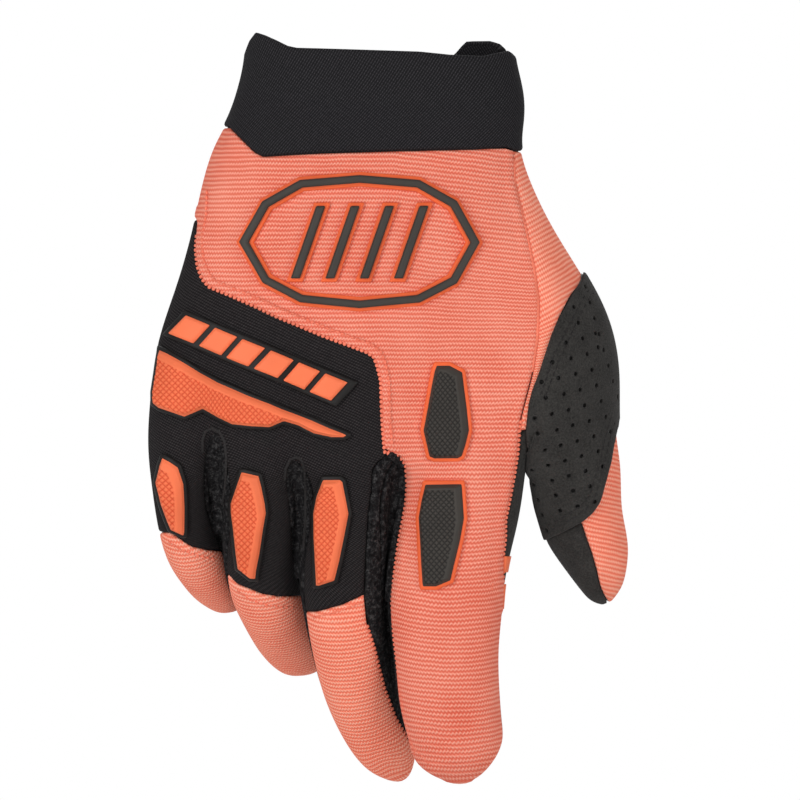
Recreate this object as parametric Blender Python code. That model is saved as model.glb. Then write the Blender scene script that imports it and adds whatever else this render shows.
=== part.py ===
"""Right-hand motocross glove, held up at the wrist as a hand would fill it.

X goes to the thumb's side, +Y to the palm, +Z to the wrist. The origin is the middle of the
wrist opening. Outlines are given in picture units, one of which is UNIT millimetres.
"""
import math

import bmesh
import bpy
import numpy as np
from mathutils import Vector
from mathutils.bvhtree import BVHTree

# Sizes in millimetres
UNIT = 0.29
MID_U = 388.0
TOP_V = 45.0
KNIT_WALL = 1.3
SUEDE_WALL = 1.2
NEOPRENE_WALL = 2.2
SEAM_GAP = 0.36
FLAT_ANGLE = 4.0
LAYER_GAP = 0.35
RUBBER_GAP = 0.55
PATCH_WALL = 1.0
HOLE_SIZE = 1.5
HOLE_PITCH = 4.7
HOLE_SIDES = 6
HOLE_MARGIN = 3.2
RIM_WIDTH = 1.0
RIM_HEIGHT = 0.9
PAD_HEIGHT = 1.7
CUFF_PROUD = 0.6
TAB_WALL = 1.8

# Where the finger lines lie across the hand, from the little finger's side to the thumb's
ACROSS = (0.035, 0.10, 0.178, 0.28, 0.388, 0.52, 0.659, 0.82, 0.962)

# Rows of the hand: v, left u, right u, middle y, half depth, valley between the knuckles
HAND = (
    (24, 246, 514, 2.0, 19.0, 0.0),
    (56, 246, 514, 2.0, 19.0, 0.0),
    (90, 239, 521, 2.0, 19.0, 0.0),
    (120, 228, 522, 1.5, 18.5, 0.0),
    (150, 213, 521, 1.0, 18.0, 0.0),
    (190, 201, 534, 0.5, 17.8, 0.0),
    (235, 191, 557, 0.0, 17.6, 0.0),
    (287, 176, 561, 0.0, 17.4, 0.0),
    (340, 159, 558, 0.0, 17.2, 0.6),
    (392, 151, 547, 0.0, 17.0, 1.6),
)
THUMB_ROW = 6

# The row where the fingers part, back of the hand then palm side: v at each finger line
PART_BACK_V = (437, 440, 431, 446, 458, 460, 456, 450, 445)
PART_PALM_V = (448, 452, 458, 460, 472, 467, 472, 460, 447)
PART_LEFT, PART_RIGHT, PART_DEPTH, PART_VALLEY = 148, 529, 15.5, 3.4
# The webs and the two outer sides: u, v, y
WEBS = ((148, 443, 2.0), (215, 455, 3.0), (296, 480, 3.0), (400, 481, 2.0), (527, 461, 3.0))

# Rows of each finger: u, v, y, half width in units, half depth
LITTLE = (
    (182, 488, 3, 30, 9.5),
    (187, 520, 7, 30, 9.5),
    (194, 546, 14, 30, 9.3),
    (205, 566, 23, 29, 9.0),
    (216, 581, 33, 27, 8.5),
    (226, 592, 42, 22, 7.0),
)
RING = (
    (260, 497, 0, 38, 11.5),
    (260, 538, 4, 38, 11.5),
    (264, 576, 13, 38, 11.3),
    (276, 608, 25, 37, 11.0),
    (289, 634, 38, 36, 10.0),
    (299, 652, 49, 30, 8.5),
)
MIDDLE = (
    (347, 502, -1, 45, 12.0),
    (344, 542, 0, 45, 12.0),
    (343, 580, 3, 44, 11.8),
    (347, 618, 8, 42, 11.5),
    (353, 655, 15, 40, 11.0),
    (363, 694, 23, 38, 10.5),
    (376, 728, 30, 35, 9.5),
    (390, 757, 36, 28, 7.5),
)
INDEX = (
    (460, 500, 0, 61, 12.0),
    (452, 540, 0, 60, 12.0),
    (446, 578, 0, 59, 12.0),
    (445, 613, 1, 57, 12.0),
    (446, 652, 3, 53, 11.8),
    (449, 695, 5, 51, 11.3),
    (455, 731, 8, 48, 10.3),
    (460, 759, 10, 40, 8.3),
)
TIPS = ((234, 600, 50), (307, 664, 59), (403, 783, 41), (466, 783, 12))
# Rows of the thumb: outer u, v, inner u, v, middle y, half depth
THUMB = (
    (587, 284, 528, 471, 2, 16.5),
    (607, 328, 530, 481, 5, 16.0),
    (615, 375, 533, 493, 8, 15.3),
    (616, 425, 536, 507, 11, 14.5),
    (621, 468, 542, 527, 13, 13.8),
    (623, 510, 549, 545, 15, 12.8),
    (629, 550, 565, 569, 17, 10.8),
    (625, 581, 585, 595, 18, 7.0),
)
THUMB_TIP = (608, 605, 19)

# Outlines in the picture: u, v
CUFF_SEAM = (
    (140, 118), (229, 127), (245, 143), (254, 152), (263, 157), (319, 154), (390, 152),
    (469, 150), (505, 148), (515, 151), (700, 151),
)
CUFF_RIM = (
    (140, 60), (246, 52), (250, 41), (256, 33), (265, 36), (276, 41), (288, 47), (297, 49),
    (420, 53), (450, 56), (482, 57), (509, 51), (519, 60), (700, 60),
)
CORAL = (
    (100, 90), (514, 90), (514, 150), (515, 181), (519, 199), (525, 225), (530, 249),
    (534, 270), (538, 300), (538, 314), (537, 340), (532, 374), (526, 397), (521, 417),
    (519, 431), (518, 453), (515, 474), (511, 496), (506, 520), (506, 538), (504, 556),
    (504, 574), (505, 591), (509, 606), (516, 622), (516, 790), (400, 790), (380, 700), (380, 640), (390, 603),
    (390, 589), (393, 578), (395, 562), (398, 540), (402, 520), (405, 503), (406, 486),
    (405, 465), (401, 460), (394, 454), (385, 453), (383, 431), (382, 412), (381, 381),
    (377, 365), (374, 357), (366, 352), (350, 346), (325, 337), (299, 326), (277, 317),
    (256, 307), (231, 296), (209, 287), (202, 279), (197, 266), (195, 249), (196, 234),
    (197, 222), (188, 208), (100, 190),
)
KNUCKLES = (
    (401, 640), (401, 460), (394, 454), (385, 453), (383, 431), (382, 412), (381, 381),
    (377, 365), (374, 357), (366, 352), (350, 346), (325, 337), (299, 326), (277, 317),
    (256, 307), (231, 296), (209, 287), (202, 279), (197, 266), (195, 249), (196, 234),
    (197, 222), (188, 208), (100, 190), (100, 640),
)
THUMB_SIDE = (
    (514, 100), (514, 150), (515, 181), (519, 199), (525, 225), (530, 249), (534, 270),
    (538, 300), (538, 314), (537, 340), (532, 374), (526, 397), (521, 417), (519, 431),
    (519, 520), (700, 520), (700, 100),
)
CUFF_TAB = (
    (330, 62), (450, 56), (464, 39), (487, 39), (496, 42), (503, 50), (507, 102), (330, 100),
)
THUMB_PAD = (
    (519, 431), (540, 431), (541, 460), (544, 500), (549, 532), (560, 531), (581, 522),
    (587, 540), (592, 554), (597, 572), (600, 586), (605, 597), (609, 603), (612, 640),
    (480, 640), (504, 556), (506, 538), (506, 520), (511, 496), (515, 474), (518, 453),
)
PATCH = (
    (538, 470), (538, 431), (536, 398), (536, 389), (537, 374), (544, 356), (551, 335),
    (559, 315), (569, 296), (580, 282), (582, 262), (700, 262), (700, 417), (617, 417),
    (612, 442), (609, 462), (603, 485), (599, 501), (592, 512), (582, 521), (564, 531),
    (546, 540), (500, 552),
)
# Where each finger's black panel ends: u, v
TIP_EDGES = (
    ((130, 530), (170, 534), (192, 548), (208, 551), (260, 551)),
    ((200, 570), (227, 575), (236, 585), (261, 595), (279, 598), (320, 595)),
    ((280, 612), (316, 612), (342, 605), (364, 595), (400, 590)),
)

# Rubber pieces: rows of v, left u, right u
GUARDS = (
    ("little_guard", (
        (454, 163, 167), (458, 162, 174), (464, 160, 182), (482, 156, 187), (505, 161, 188),
        (520, 166, 188), (530, 170, 188), (536, 182, 187))),
    ("ring_guard", (
        (468, 241, 246), (472, 240, 262), (485, 236, 265), (502, 231, 268), (512, 231, 269),
        (530, 233, 266), (552, 235, 263), (568, 237, 260), (579, 250, 259))),
    ("middle_guard", (
        (475, 323, 342), (479, 321, 346), (495, 316, 349), (513, 313, 352), (535, 313, 348),
        (560, 314, 343), (581, 315, 338), (587, 315, 322))),
    ("index_guard_upper", (
        (362, 434, 450), (370, 431, 465), (385, 428, 467), (408, 424, 470), (430, 420, 472),
        (446, 424, 468), (458, 427, 464), (461, 434, 458))),
    ("index_guard_lower", (
        (480, 424, 464), (486, 423, 465), (500, 420, 466), (518, 417, 467), (540, 418, 463),
        (565, 419, 457), (582, 420, 453), (589, 421, 437))),
)
# The knuckle guard: rows of u, upper v, lower v
KNUCKLE_GUARD = (
    (154, 392, 405), (161, 346, 411), (172, 351, 415), (186, 359, 420), (203, 370, 412),
    (220, 379, 420), (234, 385, 427), (252, 393, 429), (270, 400, 430), (284, 406, 424),
    (298, 411, 428), (314, 417, 436), (332, 425, 440), (345, 430, 440), (351, 433, 436),
)
# The badge on the back: the outside of its band, then its leaning bars
BADGE = (
    (238, 243), (262, 200), (300, 178), (360, 173), (420, 178), (458, 200), (482, 243),
    (458, 286), (420, 306), (360, 312), (300, 306), (262, 286),
)
BADGE_BAND = 2.2
BADGE_HEIGHT = 1.2
BADGE_BARS = 4
BADGE_BAR = 9.0
BADGE_BAR_PITCH = 34.0
BADGE_BAR_REACH = 36.0
BADGE_BAR_LEAN = 0.35
BADGE_MIDDLE_U, BADGE_MIDDLE_V = 360.0, 243.0
# The row of raised blocks over the knuckles: u and v of its ends, height in units, lean
STRIP_START, STRIP_END = (180, 325), (344, 393)
STRIP_HEIGHT = 23.0
STRIP_LEAN = 0.35
STRIP_BLOCKS = 6
STRIP_RAISE = 1.0

CORAL_KNIT, ORANGE_RUBBER = (0.92, 0.21, 0.13), (0.88, 0.19, 0.09)
BLACK_CLOTH, BLACK_RUBBER = (0.02, 0.02, 0.023), (0.035, 0.033, 0.03)
LOOKS = (
    (("index_guard_upper_rim", "index_guard_lower_rim", "badge_rim", "badge_bar_1_rim",
      "badge_bar_2_rim", "badge_bar_3_rim", "badge_bar_4_rim"), (ORANGE_RUBBER, 0.5)),
    (("index_guard_upper", "index_guard_lower", "badge*", "*_rim", "strip_base"),
     (BLACK_RUBBER, 0.55)),
    (("*_guard", "strip_block*"), (ORANGE_RUBBER, 0.5)),
    (("back_panel", "thumb_panel", "*_tip"), (CORAL_KNIT, 0.85)),
    (("*",), (BLACK_CLOTH, 0.8)),
)

FINGERS = ("little", "ring", "middle", "index")
LIMB, CREST, ROOT, FIXED = 9, 10, 11, 12
# Turns, from -1 at the back of the hand to 1 at the palm, at which panels end
LEFT_TURN = 0.3
THUMB_TURN = 0.45
PATCH_TURN = 0.38
PATCH_INNER_TURN = -0.25
WEB_TURN = 0.55
WEB_END = 0.8


def place(u, v, y):
    return np.array(((u - MID_U) * UNIT, y, (TOP_V - v) * UNIT))


def ease(table, at, column=1):
    """Reads one column of a table at the places given, its first column being the place."""
    rows = sorted(table)
    return np.interp(at, [row[0] for row in rows], [row[column] for row in rows])


# The form: a cage whose limit surface runs through the points of the tables above

def build_cage():
    """Gives the points with their channels, the four-sided faces and a limb number for each.

    Channels after x, y, z: w, -1 at the back of the hand and 1 at the palm, t, 0 to 1 along a
    finger, and run, the distance from the wrist in millimetres.
    """
    points, faces, limbs = [], [], []

    def add(position, w, t, run):
        points.append((*position, w, t, run))
        return len(points) - 1

    rings = []
    for number, (v, left, right, mid_y, half, valley) in enumerate(HAND):
        in_thumb = number > THUMB_ROW
        back, palm = [], []
        for column, part in enumerate(ACROSS):
            edge = 2 * part - 1
            depth = half * (1 - abs(edge) ** 2.5) ** 0.4
            if in_thumb and column == 8:
                depth = half * 0.84
            dip = valley if column in (2, 4, 6) else 0
            u = left + part * (right - left)
            w = -0.72 if column in (0, 8) and not (in_thumb and column == 8) else -1.0
            back.append(add(place(u, v, mid_y - depth + dip), w, 0, (v - TOP_V) * UNIT))
            palm.append(add(place(u, v, mid_y + depth), -w, 0, (v - TOP_V) * UNIT))
        outer = None
        if not in_thumb:
            outer = add(place(right, v, mid_y), 0, 0, (v - TOP_V) * UNIT)
        inner = add(place(left, v, mid_y), 0, 0, (v - TOP_V) * UNIT)
        rings.append(back + [outer] + palm[::-1] + [inner])
    back, palm = [], []
    for column, part in enumerate(ACROSS):
        edge = 2 * part - 1
        depth = PART_DEPTH * (1 - abs(edge) ** 2.5) ** 0.4
        dip = PART_VALLEY if column in (2, 4, 6) else 0
        u = PART_LEFT + part * (PART_RIGHT - PART_LEFT)
        if column == 8:
            u, depth = PART_RIGHT - 3.5, PART_DEPTH * 0.58
        v_back, v_palm = PART_BACK_V[column], PART_PALM_V[column]
        w = -0.71 if column % 2 == 0 else -1.0
        back.append(add(place(u, v_back, dip - depth), w, 0, (v_back - TOP_V) * UNIT))
        palm.append(add(place(u, v_palm, depth - dip), -w, 0, (v_palm - TOP_V) * UNIT))
    webs = [add(place(*web), 0, 0, (web[1] - TOP_V) * UNIT) for web in WEBS]
    rings.append(back + [webs[4]] + palm[::-1] + [webs[0]])

    for upper, lower in zip(rings, rings[1:]):
        for k in range(20):
            after = (k + 1) % 20
            corners = (upper[k], lower[k], lower[after], upper[after])
            if k in (8, 9) and rings.index(upper) >= THUMB_ROW:
                continue
            faces.append(corners)
            limbs.append(0)

    def tube(ring, next_rings, tip, limb):
        for new in next_rings:
            for k in range(len(ring)):
                after = (k + 1) % len(ring)
                faces.append((ring[k], new[k], new[after], ring[after]))
                limbs.append(limb)
            ring = new
        for k in range(0, len(ring), 2):
            faces.append((ring[k + 1], ring[k], ring[k - 1], tip))
            limbs.append(limb)

    for finger, table in enumerate((LITTLE, RING, MIDDLE, INDEX)):
        first = 2 * finger
        base = [back[first], back[first + 1], back[first + 2], webs[finger + 1],
                palm[first + 2], palm[first + 1], palm[first], webs[finger]]
        root = np.mean([points[k][:3] for k in base], axis=0)
        middles = [root] + [place(*row[:3]) for row in table] + [place(*TIPS[finger])]
        run = (455 - TOP_V) * UNIT
        new_rings = []
        for k, (u, v, y, half, depth) in enumerate(table, start=1):
            way = middles[k + 1] - middles[k - 1]
            way /= np.linalg.norm(way)
            across = np.array((1.0, 0.0, 0.0)) - way[0] * way
            across /= np.linalg.norm(across)
            out = np.cross(across, way)
            if out[1] > 0:
                out = -out
            run += np.linalg.norm(middles[k] - middles[k - 1])
            ring = []
            for turn in (135, 90, 45, 0, -45, -90, -135, 180):
                c, s = math.cos(math.radians(turn)), math.sin(math.radians(turn))
                square = 1.04 if turn % 90 else 1.0
                at = middles[k] + across * c * half * UNIT * square + out * s * depth * square
                ring.append(add(at, -s, k / (len(table) + 1), run))
            new_rings.append(ring)
        tip = add(middles[-1], 0, 1, run + np.linalg.norm(middles[-1] - middles[-2]))
        tube(base, new_rings, tip, finger + 1)

    # The thumb leaves the hand's side through an opening of twelve points
    rows = rings[THUMB_ROW:]
    base = [webs[4]] + [row[8] for row in rows[::-1]] + [rows[0][9]] + [row[10] for row in rows]
    new_rings = []
    run = (330 - TOP_V) * UNIT
    for k, (outer_u, outer_v, inner_u, inner_v, mid_y, depth) in enumerate(THUMB, start=1):
        outer, inner = place(outer_u, outer_v, mid_y), place(inner_u, inner_v, mid_y)
        middle, half = (outer + inner) / 2, (outer - inner) / 2
        run += 9.0
        ring = []
        for step in range(12):
            turn = math.radians(180 - 30 * step)
            c, s = math.cos(turn), math.sin(turn)
            at = middle + half * c + np.array((0, -depth * s, 0))
            ring.append(add(at, -s, k / (len(THUMB) + 1), run))
        new_rings.append(ring)
    tip = add(place(*THUMB_TIP), 0, 1, run + 6)
    tube(base, new_rings, tip, 5)
    return np.array(points), np.array(faces), np.array(limbs)


def neighbours(faces, count):
    """Edges, the faces' edge numbers, and how many faces each edge has."""
    pairs = np.concatenate([faces[:, [k, (k + 1) % 4]] for k in range(4)])
    edges, back = np.unique(np.sort(pairs, axis=1), axis=0, return_inverse=True)
    back = back.reshape(4, -1).T
    uses = np.bincount(back.ravel(), minlength=len(edges))
    return edges, back, uses


def subdivide(points, faces, limbs):
    """One round of Catmull-Clark subdivision, for all channels alike."""
    count = len(points)
    edges, back, uses = neighbours(faces, count)
    centres = points[faces].mean(axis=1)
    halves = points[edges].mean(axis=1)
    sums = np.zeros_like(halves)
    np.add.at(sums, back.ravel(), np.repeat(centres, 4, axis=0))
    inside = (uses == 2)[:, None]
    edge_points = np.where(inside, halves / 2 + sums / 4, halves)
    face_sum, face_count = np.zeros_like(points), np.zeros(count)
    np.add.at(face_sum, faces.ravel(), np.repeat(centres, 4, axis=0))
    np.add.at(face_count, faces.ravel(), 1)
    half_sum, half_count = np.zeros_like(points), np.zeros(count)
    rim_sum, on_rim = np.zeros_like(points), np.zeros(count, bool)
    for end in (0, 1):
        np.add.at(half_sum, edges[:, end], halves)
        np.add.at(half_count, edges[:, end], 1)
        rim = uses == 1
        np.add.at(rim_sum, edges[rim, end], halves[rim])
        on_rim[edges[rim, end]] = True
    n = face_count[:, None]
    moved = (face_sum / n + 2 * half_sum / half_count[:, None] + (n - 3) * points) / n
    moved = np.where(on_rim[:, None], (rim_sum + 2 * points) / 4, moved)
    fresh = np.concatenate([moved, edge_points, centres])
    e0, f0 = count, count + len(edges)
    middle = f0 + np.arange(len(faces))
    quads = [np.stack([faces[:, k], e0 + back[:, k], middle, e0 + back[:, k - 1]], axis=1)
             for k in range(4)]
    return fresh, np.concatenate(quads), np.tile(limbs, 4)


def limit_weights(faces, count):
    """The matrix that takes the points of a cage to their places on the limit surface."""
    edges, back, uses = neighbours(faces, count)
    matrix = np.zeros((count, count))
    valence = np.bincount(faces.ravel(), minlength=count)
    rim_points = np.unique(edges[uses == 1])
    on_rim = np.zeros(count, bool)
    on_rim[rim_points] = True
    for a, b in edges:
        matrix[a, b] += 4
        matrix[b, a] += 4
    for face in faces:
        for k in range(4):
            matrix[face[k], face[(k + 2) % 4]] += 1
    for k in range(count):
        matrix[k, k] += valence[k] ** 2
        matrix[k] /= valence[k] * (valence[k] + 5)
    matrix[on_rim] = 0
    for a, b in edges[uses == 1]:
        matrix[a, b] = matrix[b, a] = 1 / 6
    for k in rim_points:
        matrix[k, k] = 4 / 6
    return matrix


def to_limit(points, faces):
    """Moves a subdivided mesh's points onto the limit surface."""
    count = len(points)
    edges, back, uses = neighbours(faces, count)
    total = np.zeros_like(points)
    for a, b in ((0, 1), (1, 0)):
        np.add.at(total, edges[:, a], 4 * points[edges[:, b]])
    for k in range(4):
        np.add.at(total, faces[:, k], points[faces[:, (k + 2) % 4]])
    n = np.bincount(faces.ravel(), minlength=count)[:, None]
    moved = (total + n ** 2 * points) / (n * (n + 5))
    rim_total, on_rim = np.zeros_like(points), np.zeros(count, bool)
    rim = uses == 1
    for a, b in ((0, 1), (1, 0)):
        np.add.at(rim_total, edges[rim, a], points[edges[rim, b]])
        on_rim[edges[rim, a]] = True
    return np.where(on_rim[:, None], (4 * points + rim_total) / 6, moved)


def build_form(rounds):
    """The glove's outside as one mesh: points with channels x y z w t run and the normal."""
    points, faces, limbs = build_cage()
    weights = limit_weights(faces, len(points))
    points[:, :3] = np.linalg.solve(weights, points[:, :3])
    for _ in range(rounds):
        points, faces, limbs = subdivide(points, faces, limbs)
    points = to_limit(points, faces)
    corners = points[faces][:, :, :3]
    face_normals = np.cross(corners[:, 2] - corners[:, 0], corners[:, 3] - corners[:, 1])
    normals = np.zeros((len(points), 3))
    np.add.at(normals, faces.ravel(), np.repeat(face_normals, 4, axis=0))
    normals /= np.linalg.norm(normals, axis=1)[:, None]
    limb, crest = np.zeros(len(points)), np.zeros(len(points))
    np.maximum.at(limb, faces.ravel(), np.repeat(limbs, 4))
    on_index, on_thumb = np.zeros(len(points), bool), np.zeros(len(points), bool)
    on_index[faces[limbs == 4].ravel()] = True
    on_thumb[faces[limbs == 5].ravel()] = True
    crest[on_index & on_thumb] = 1
    lowest = np.full(len(points), 9.0)
    np.minimum.at(lowest, faces.ravel(), np.repeat(limbs, 4))
    root = (lowest < limb).astype(float)
    flags = np.stack([limb, crest, root, np.zeros(len(points))], axis=1)
    return np.hstack([points, normals, flags]), faces, limbs


# Fields: each is above zero inside its panel, in millimetres or nearly so

def picture(points):
    return points[:, 0] / UNIT + MID_U, TOP_V - points[:, 2] / UNIT


def within(points, outline):
    """Signed distance in millimetres to a closed outline in the picture, above zero inside."""
    u, v = picture(points)
    corners = np.array(outline, float)
    ends = np.roll(corners, -1, axis=0)
    best = np.full(len(points), 1e9)
    inside = np.zeros(len(points), bool)
    for (a, b), (c, d) in zip(corners, ends):
        length = (c - a) ** 2 + (d - b) ** 2
        part = np.clip(((u - a) * (c - a) + (v - b) * (d - b)) / length, 0, 1)
        best = np.minimum(best, np.hypot(u - a - part * (c - a), v - b - part * (d - b)))
        crosses = (b > v) != (d > v)
        if d != b:
            inside ^= crosses & (u < a + (v - b) * (c - a) / (d - b))
    return np.where(inside, best, -best) * UNIT


def above_line(points, table):
    u, v = picture(points)
    return (ease(table, u) - v) * UNIT


def side_limit(points):
    """The turn at which a finger's back panel ends, by the way along the finger."""
    return np.interp(points[:, 4], (0.0, 0.12, 0.45, 0.8, 1.0), (-0.66, -0.6, -0.3, -0.05, 0.0))


def panel_limit(points):
    """The turn at which the panels of the back end, anywhere on the glove."""
    limb, left, way = np.round(points[:, LIMB]), points[:, 6] < 0, points[:, 4]
    limit = side_limit(points)
    limit = np.where((limb == 0) & left, LEFT_TURN, limit)
    limit = np.where((limb == 0) & ~left, THUMB_TURN, limit)
    limit = np.where((limb == 1) & left, LEFT_TURN * (1 - way), limit)
    limit = np.where((limb == 4) & ~left & (picture(points)[0] > 440), 0.0, limit)
    return np.where(limb == 5, THUMB_TURN, limit)


def back_field(points):
    return (panel_limit(points) - points[:, 3]) * 14


def web_limit(points):
    """The turn at which the strips between the fingers end, which narrow to a point."""
    wide = np.interp(points[:, 4], (0.0, 0.6, 0.86, 1.0), (WEB_TURN, 0.45, -0.04, -0.04))
    return np.maximum(wide, side_limit(points))


def web_field(points):
    return (web_limit(points) - points[:, 3]) * 14


def palm_turn_field(points):
    limb, left = np.round(points[:, LIMB]), points[:, 6] < 0
    outer = ((limb == 1) & left) | ((limb == 4) & (picture(points)[0] > 440))
    finger = (limb >= 1) & (limb <= 4)
    return np.where(finger & ~outer, -web_field(points), -back_field(points))


def palm_rule(points):
    """Above zero on the palm and all that is made in one piece with it."""
    limb = np.round(points[:, LIMB])
    field = palm_turn_field(points)
    strip = (limb == 4) & (picture(points)[0] > 440)
    field = np.where(strip, np.maximum(field, -within(points, CORAL)), field)
    near_thumb = (limb == 0) | (limb == 5)
    return np.where(near_thumb, np.maximum(field, within(points, THUMB_PAD)), field)


def patch_turn_field(points):
    u, v = picture(points)
    inner = (points[:, 6] < 0) | ((u < 540) & (v > 425))
    limit = np.where(inner, PATCH_INNER_TURN, PATCH_TURN)
    return (limit - points[:, 3]) * 14


def off_crest(points):
    return np.where(points[:, CREST] > 0.5, -0.35, 12.0)


def thumb_side_field(points):
    inner = (np.round(points[:, LIMB]) == 5) & (points[:, ROOT] < 0.5)
    return np.where(inner, 30.0, within(points, THUMB_SIDE))


def thumb_pad_field(points):
    return -within(points, THUMB_PAD)


class Sheet:
    """An open piece of the form that can be clipped by fields."""

    def __init__(self, points, faces, limbs):
        self.points = np.array(points)
        self.faces = [tuple(face) for face in faces]
        self.limbs = list(limbs)

    def keep_limbs(self, wanted):
        kept = [(f, n) for f, n in zip(self.faces, self.limbs) if n in wanted]
        return Sheet(self.points, [f for f, _ in kept], [n for _, n in kept]).compact()

    def compact(self):
        used = sorted({k for face in self.faces for k in face})
        new = {old: k for k, old in enumerate(used)}
        faces = [tuple(new[k] for k in face) for face in self.faces]
        return Sheet(self.points[used], faces, self.limbs)

    def centres(self):
        """A row of channels for the middle of each face, with the face's own limb."""
        rows = np.array([self.points[list(face)].mean(axis=0) for face in self.faces])
        rows[:, LIMB] = self.limbs
        rows[:, CREST] = 0
        rows[:, ROOT] = 0
        return rows

    def keep(self, rule, least):
        """Keeps the faces in whose middle the rule's value is above the given one."""
        marks = rule(self.centres()) > least
        kept = [k for k in range(len(self.faces)) if marks[k]]
        return Sheet(self.points, [self.faces[k] for k in kept],
                     [self.limbs[k] for k in kept]).compact()

    def clip(self, field, least=0.0, both=False):
        """Cuts along a field's given value and keeps the side above it, or both sides."""
        values = field(self.points) - least
        values = np.where(np.abs(values) < 1e-4, 0.0, values)
        points = [row for row in self.points]
        values = list(values)
        near = {}
        for face in self.faces:
            for k, a in enumerate(face):
                b = face[(k + 1) % len(face)]
                if values[a] * values[b] < 0:
                    part = values[a] / (values[a] - values[b])
                    if part < 0.2 and not points[a][FIXED]:
                        near.setdefault(a, (part, b))
                    elif part > 0.8 and not points[b][FIXED]:
                        near.setdefault(b, (1 - part, a))
        moves = {k: points[k] + part * (points[other] - points[k])
                 for k, (part, other) in near.items()}
        for k, place_now in moves.items():
            points[k] = place_now
            points[k][FIXED] = 1
            values[k] = 0.0
        cuts = {}

        def cut(a, b):
            key = (min(a, b), max(a, b))
            if key not in cuts:
                part = values[a] / (values[a] - values[b])
                points.append(points[a] + part * (points[b] - points[a]))
                points[-1][FIXED] = 1
                values.append(0.0)
                cuts[key] = len(points) - 1
            return cuts[key]

        faces, limbs = [], []
        for face, limb in zip(self.faces, self.limbs):
            for side in (1, -1) if both else (1,):
                if all(values[k] * side <= 0 for k in face):
                    continue
                kept = []
                for k, a in enumerate(face):
                    b = face[(k + 1) % len(face)]
                    if values[a] * side >= 0:
                        kept.append(a)
                    if values[a] * values[b] < 0:
                        kept.append(cut(a, b))
                if len(kept) >= 3:
                    faces.append(tuple(kept))
                    limbs.append(limb)
        return Sheet(np.array(points), faces, limbs).compact()

    def pieces(self):
        """The connected pieces, the one with the most faces first."""
        root = list(range(len(self.faces)))

        def find(k):
            while root[k] != k:
                root[k] = root[root[k]]
                k = root[k]
            return k

        seen = {}
        for number, face in enumerate(self.faces):
            for k, a in enumerate(face):
                b = face[(k + 1) % len(face)]
                other = seen.setdefault((min(a, b), max(a, b)), number)
                root[find(number)] = find(other)
        groups = {}
        for number, (face, limb) in enumerate(zip(self.faces, self.limbs)):
            groups.setdefault(find(number), []).append((face, limb))
        found = sorted(groups.values(), key=len, reverse=True)
        return [Sheet(self.points, [f for f, _ in group], [n for _, n in group]).compact()
                for group in found]

    def join(self, other):
        """Adds another piece whose rim shares places with this one."""
        shift = len(self.points)
        faces = self.faces + [tuple(k + shift for k in face) for face in other.faces]
        merged = Sheet(np.vstack([self.points, other.points]), faces, self.limbs + other.limbs)
        known, new = {}, []
        for k, row in enumerate(merged.points):
            key = tuple(np.round(row[:3], 4))
            new.append(known.setdefault(key, k))
        merged.faces = [tuple(dict.fromkeys(new[k] for k in face)) for face in merged.faces]
        keep = [k for k, face in enumerate(merged.faces) if len(face) >= 3]
        merged.faces = [merged.faces[k] for k in keep]
        merged.limbs = [merged.limbs[k] for k in keep]
        return merged.compact()


def solid(name, sheet, outside, inside, flatness=FLAT_ANGLE):
    """A closed wall between two distances from the form, outward being above zero."""
    sheet = sheet.pieces()[0]
    mesh = bmesh.new()
    at, normal = sheet.points[:, :3], sheet.points[:, 6:9]
    normal = normal / np.linalg.norm(normal, axis=1)[:, None]
    flat = bmesh.new()
    number = flat.verts.layers.int.new("number")
    verts = [flat.verts.new(Vector(p) / 1000) for p in at]
    for k, vert in enumerate(verts):
        vert[number] = k
    for face in sheet.faces:
        flat.faces.new([verts[k] for k in face])
    flat.normal_update()
    bmesh.ops.dissolve_limit(flat, angle_limit=math.radians(flatness), verts=flat.verts[:],
                             edges=flat.edges[:], use_dissolve_boundaries=False)
    bmesh.ops.triangulate(flat, faces=flat.faces[:], quad_method="SHORT_EDGE",
                          ngon_method="EAR_CLIP")
    triangles = [[v[number] for v in face.verts] for face in flat.faces]
    flat.free()
    used = sorted({k for triangle in triangles for k in triangle})
    new = {old: k for k, old in enumerate(used)}
    triangles = [[new[k] for k in triangle] for triangle in triangles]
    at, normal = at[used], normal[used]
    outer = [mesh.verts.new(Vector(p)) for p in (at + normal * outside) / 1000]
    inner = [mesh.verts.new(Vector(p)) for p in (at + normal * inside) / 1000]
    edges = {}
    for a, b, c in triangles:
        mesh.faces.new((outer[a], outer[b], outer[c]))
        mesh.faces.new((inner[c], inner[b], inner[a]))
        for edge in ((a, b), (b, c), (c, a)):
            edges[edge] = True
    for a, b in edges:
        if (b, a) not in edges:
            mesh.faces.new((outer[b], outer[a], inner[a], inner[b]))
    bmesh.ops.triangulate(mesh, faces=mesh.faces[:])
    return add_node(name, mesh)


def colour_of(name):
    """Colour, roughness and metallic value of a node, by its name."""
    for words, look in LOOKS:
        if any(name == word or word.endswith("*") and name.startswith(word[:-1])
               or word.startswith("*") and name.endswith(word[1:]) for word in words):
            return look
    return LOOKS[-1][1]


def add_material(node):
    material = bpy.data.materials.new(node.name)
    material.use_nodes = True
    shader = material.node_tree.nodes["Principled BSDF"]
    colour, roughness = colour_of(node.name)
    shader.inputs["Base Color"].default_value = (*colour, 1)
    shader.inputs["Roughness"].default_value = roughness
    shader.inputs["Metallic"].default_value = 0
    node.data.materials.append(material)


def add_node(name, mesh):
    data = bpy.data.meshes.new(name)
    mesh.to_mesh(data)
    mesh.free()
    node = bpy.data.objects.new(name, data)
    bpy.context.scene.collection.objects.link(node)
    add_material(node)
    return node


# Rubber pieces lie on the form: each is a grid laid on it from the front

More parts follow.
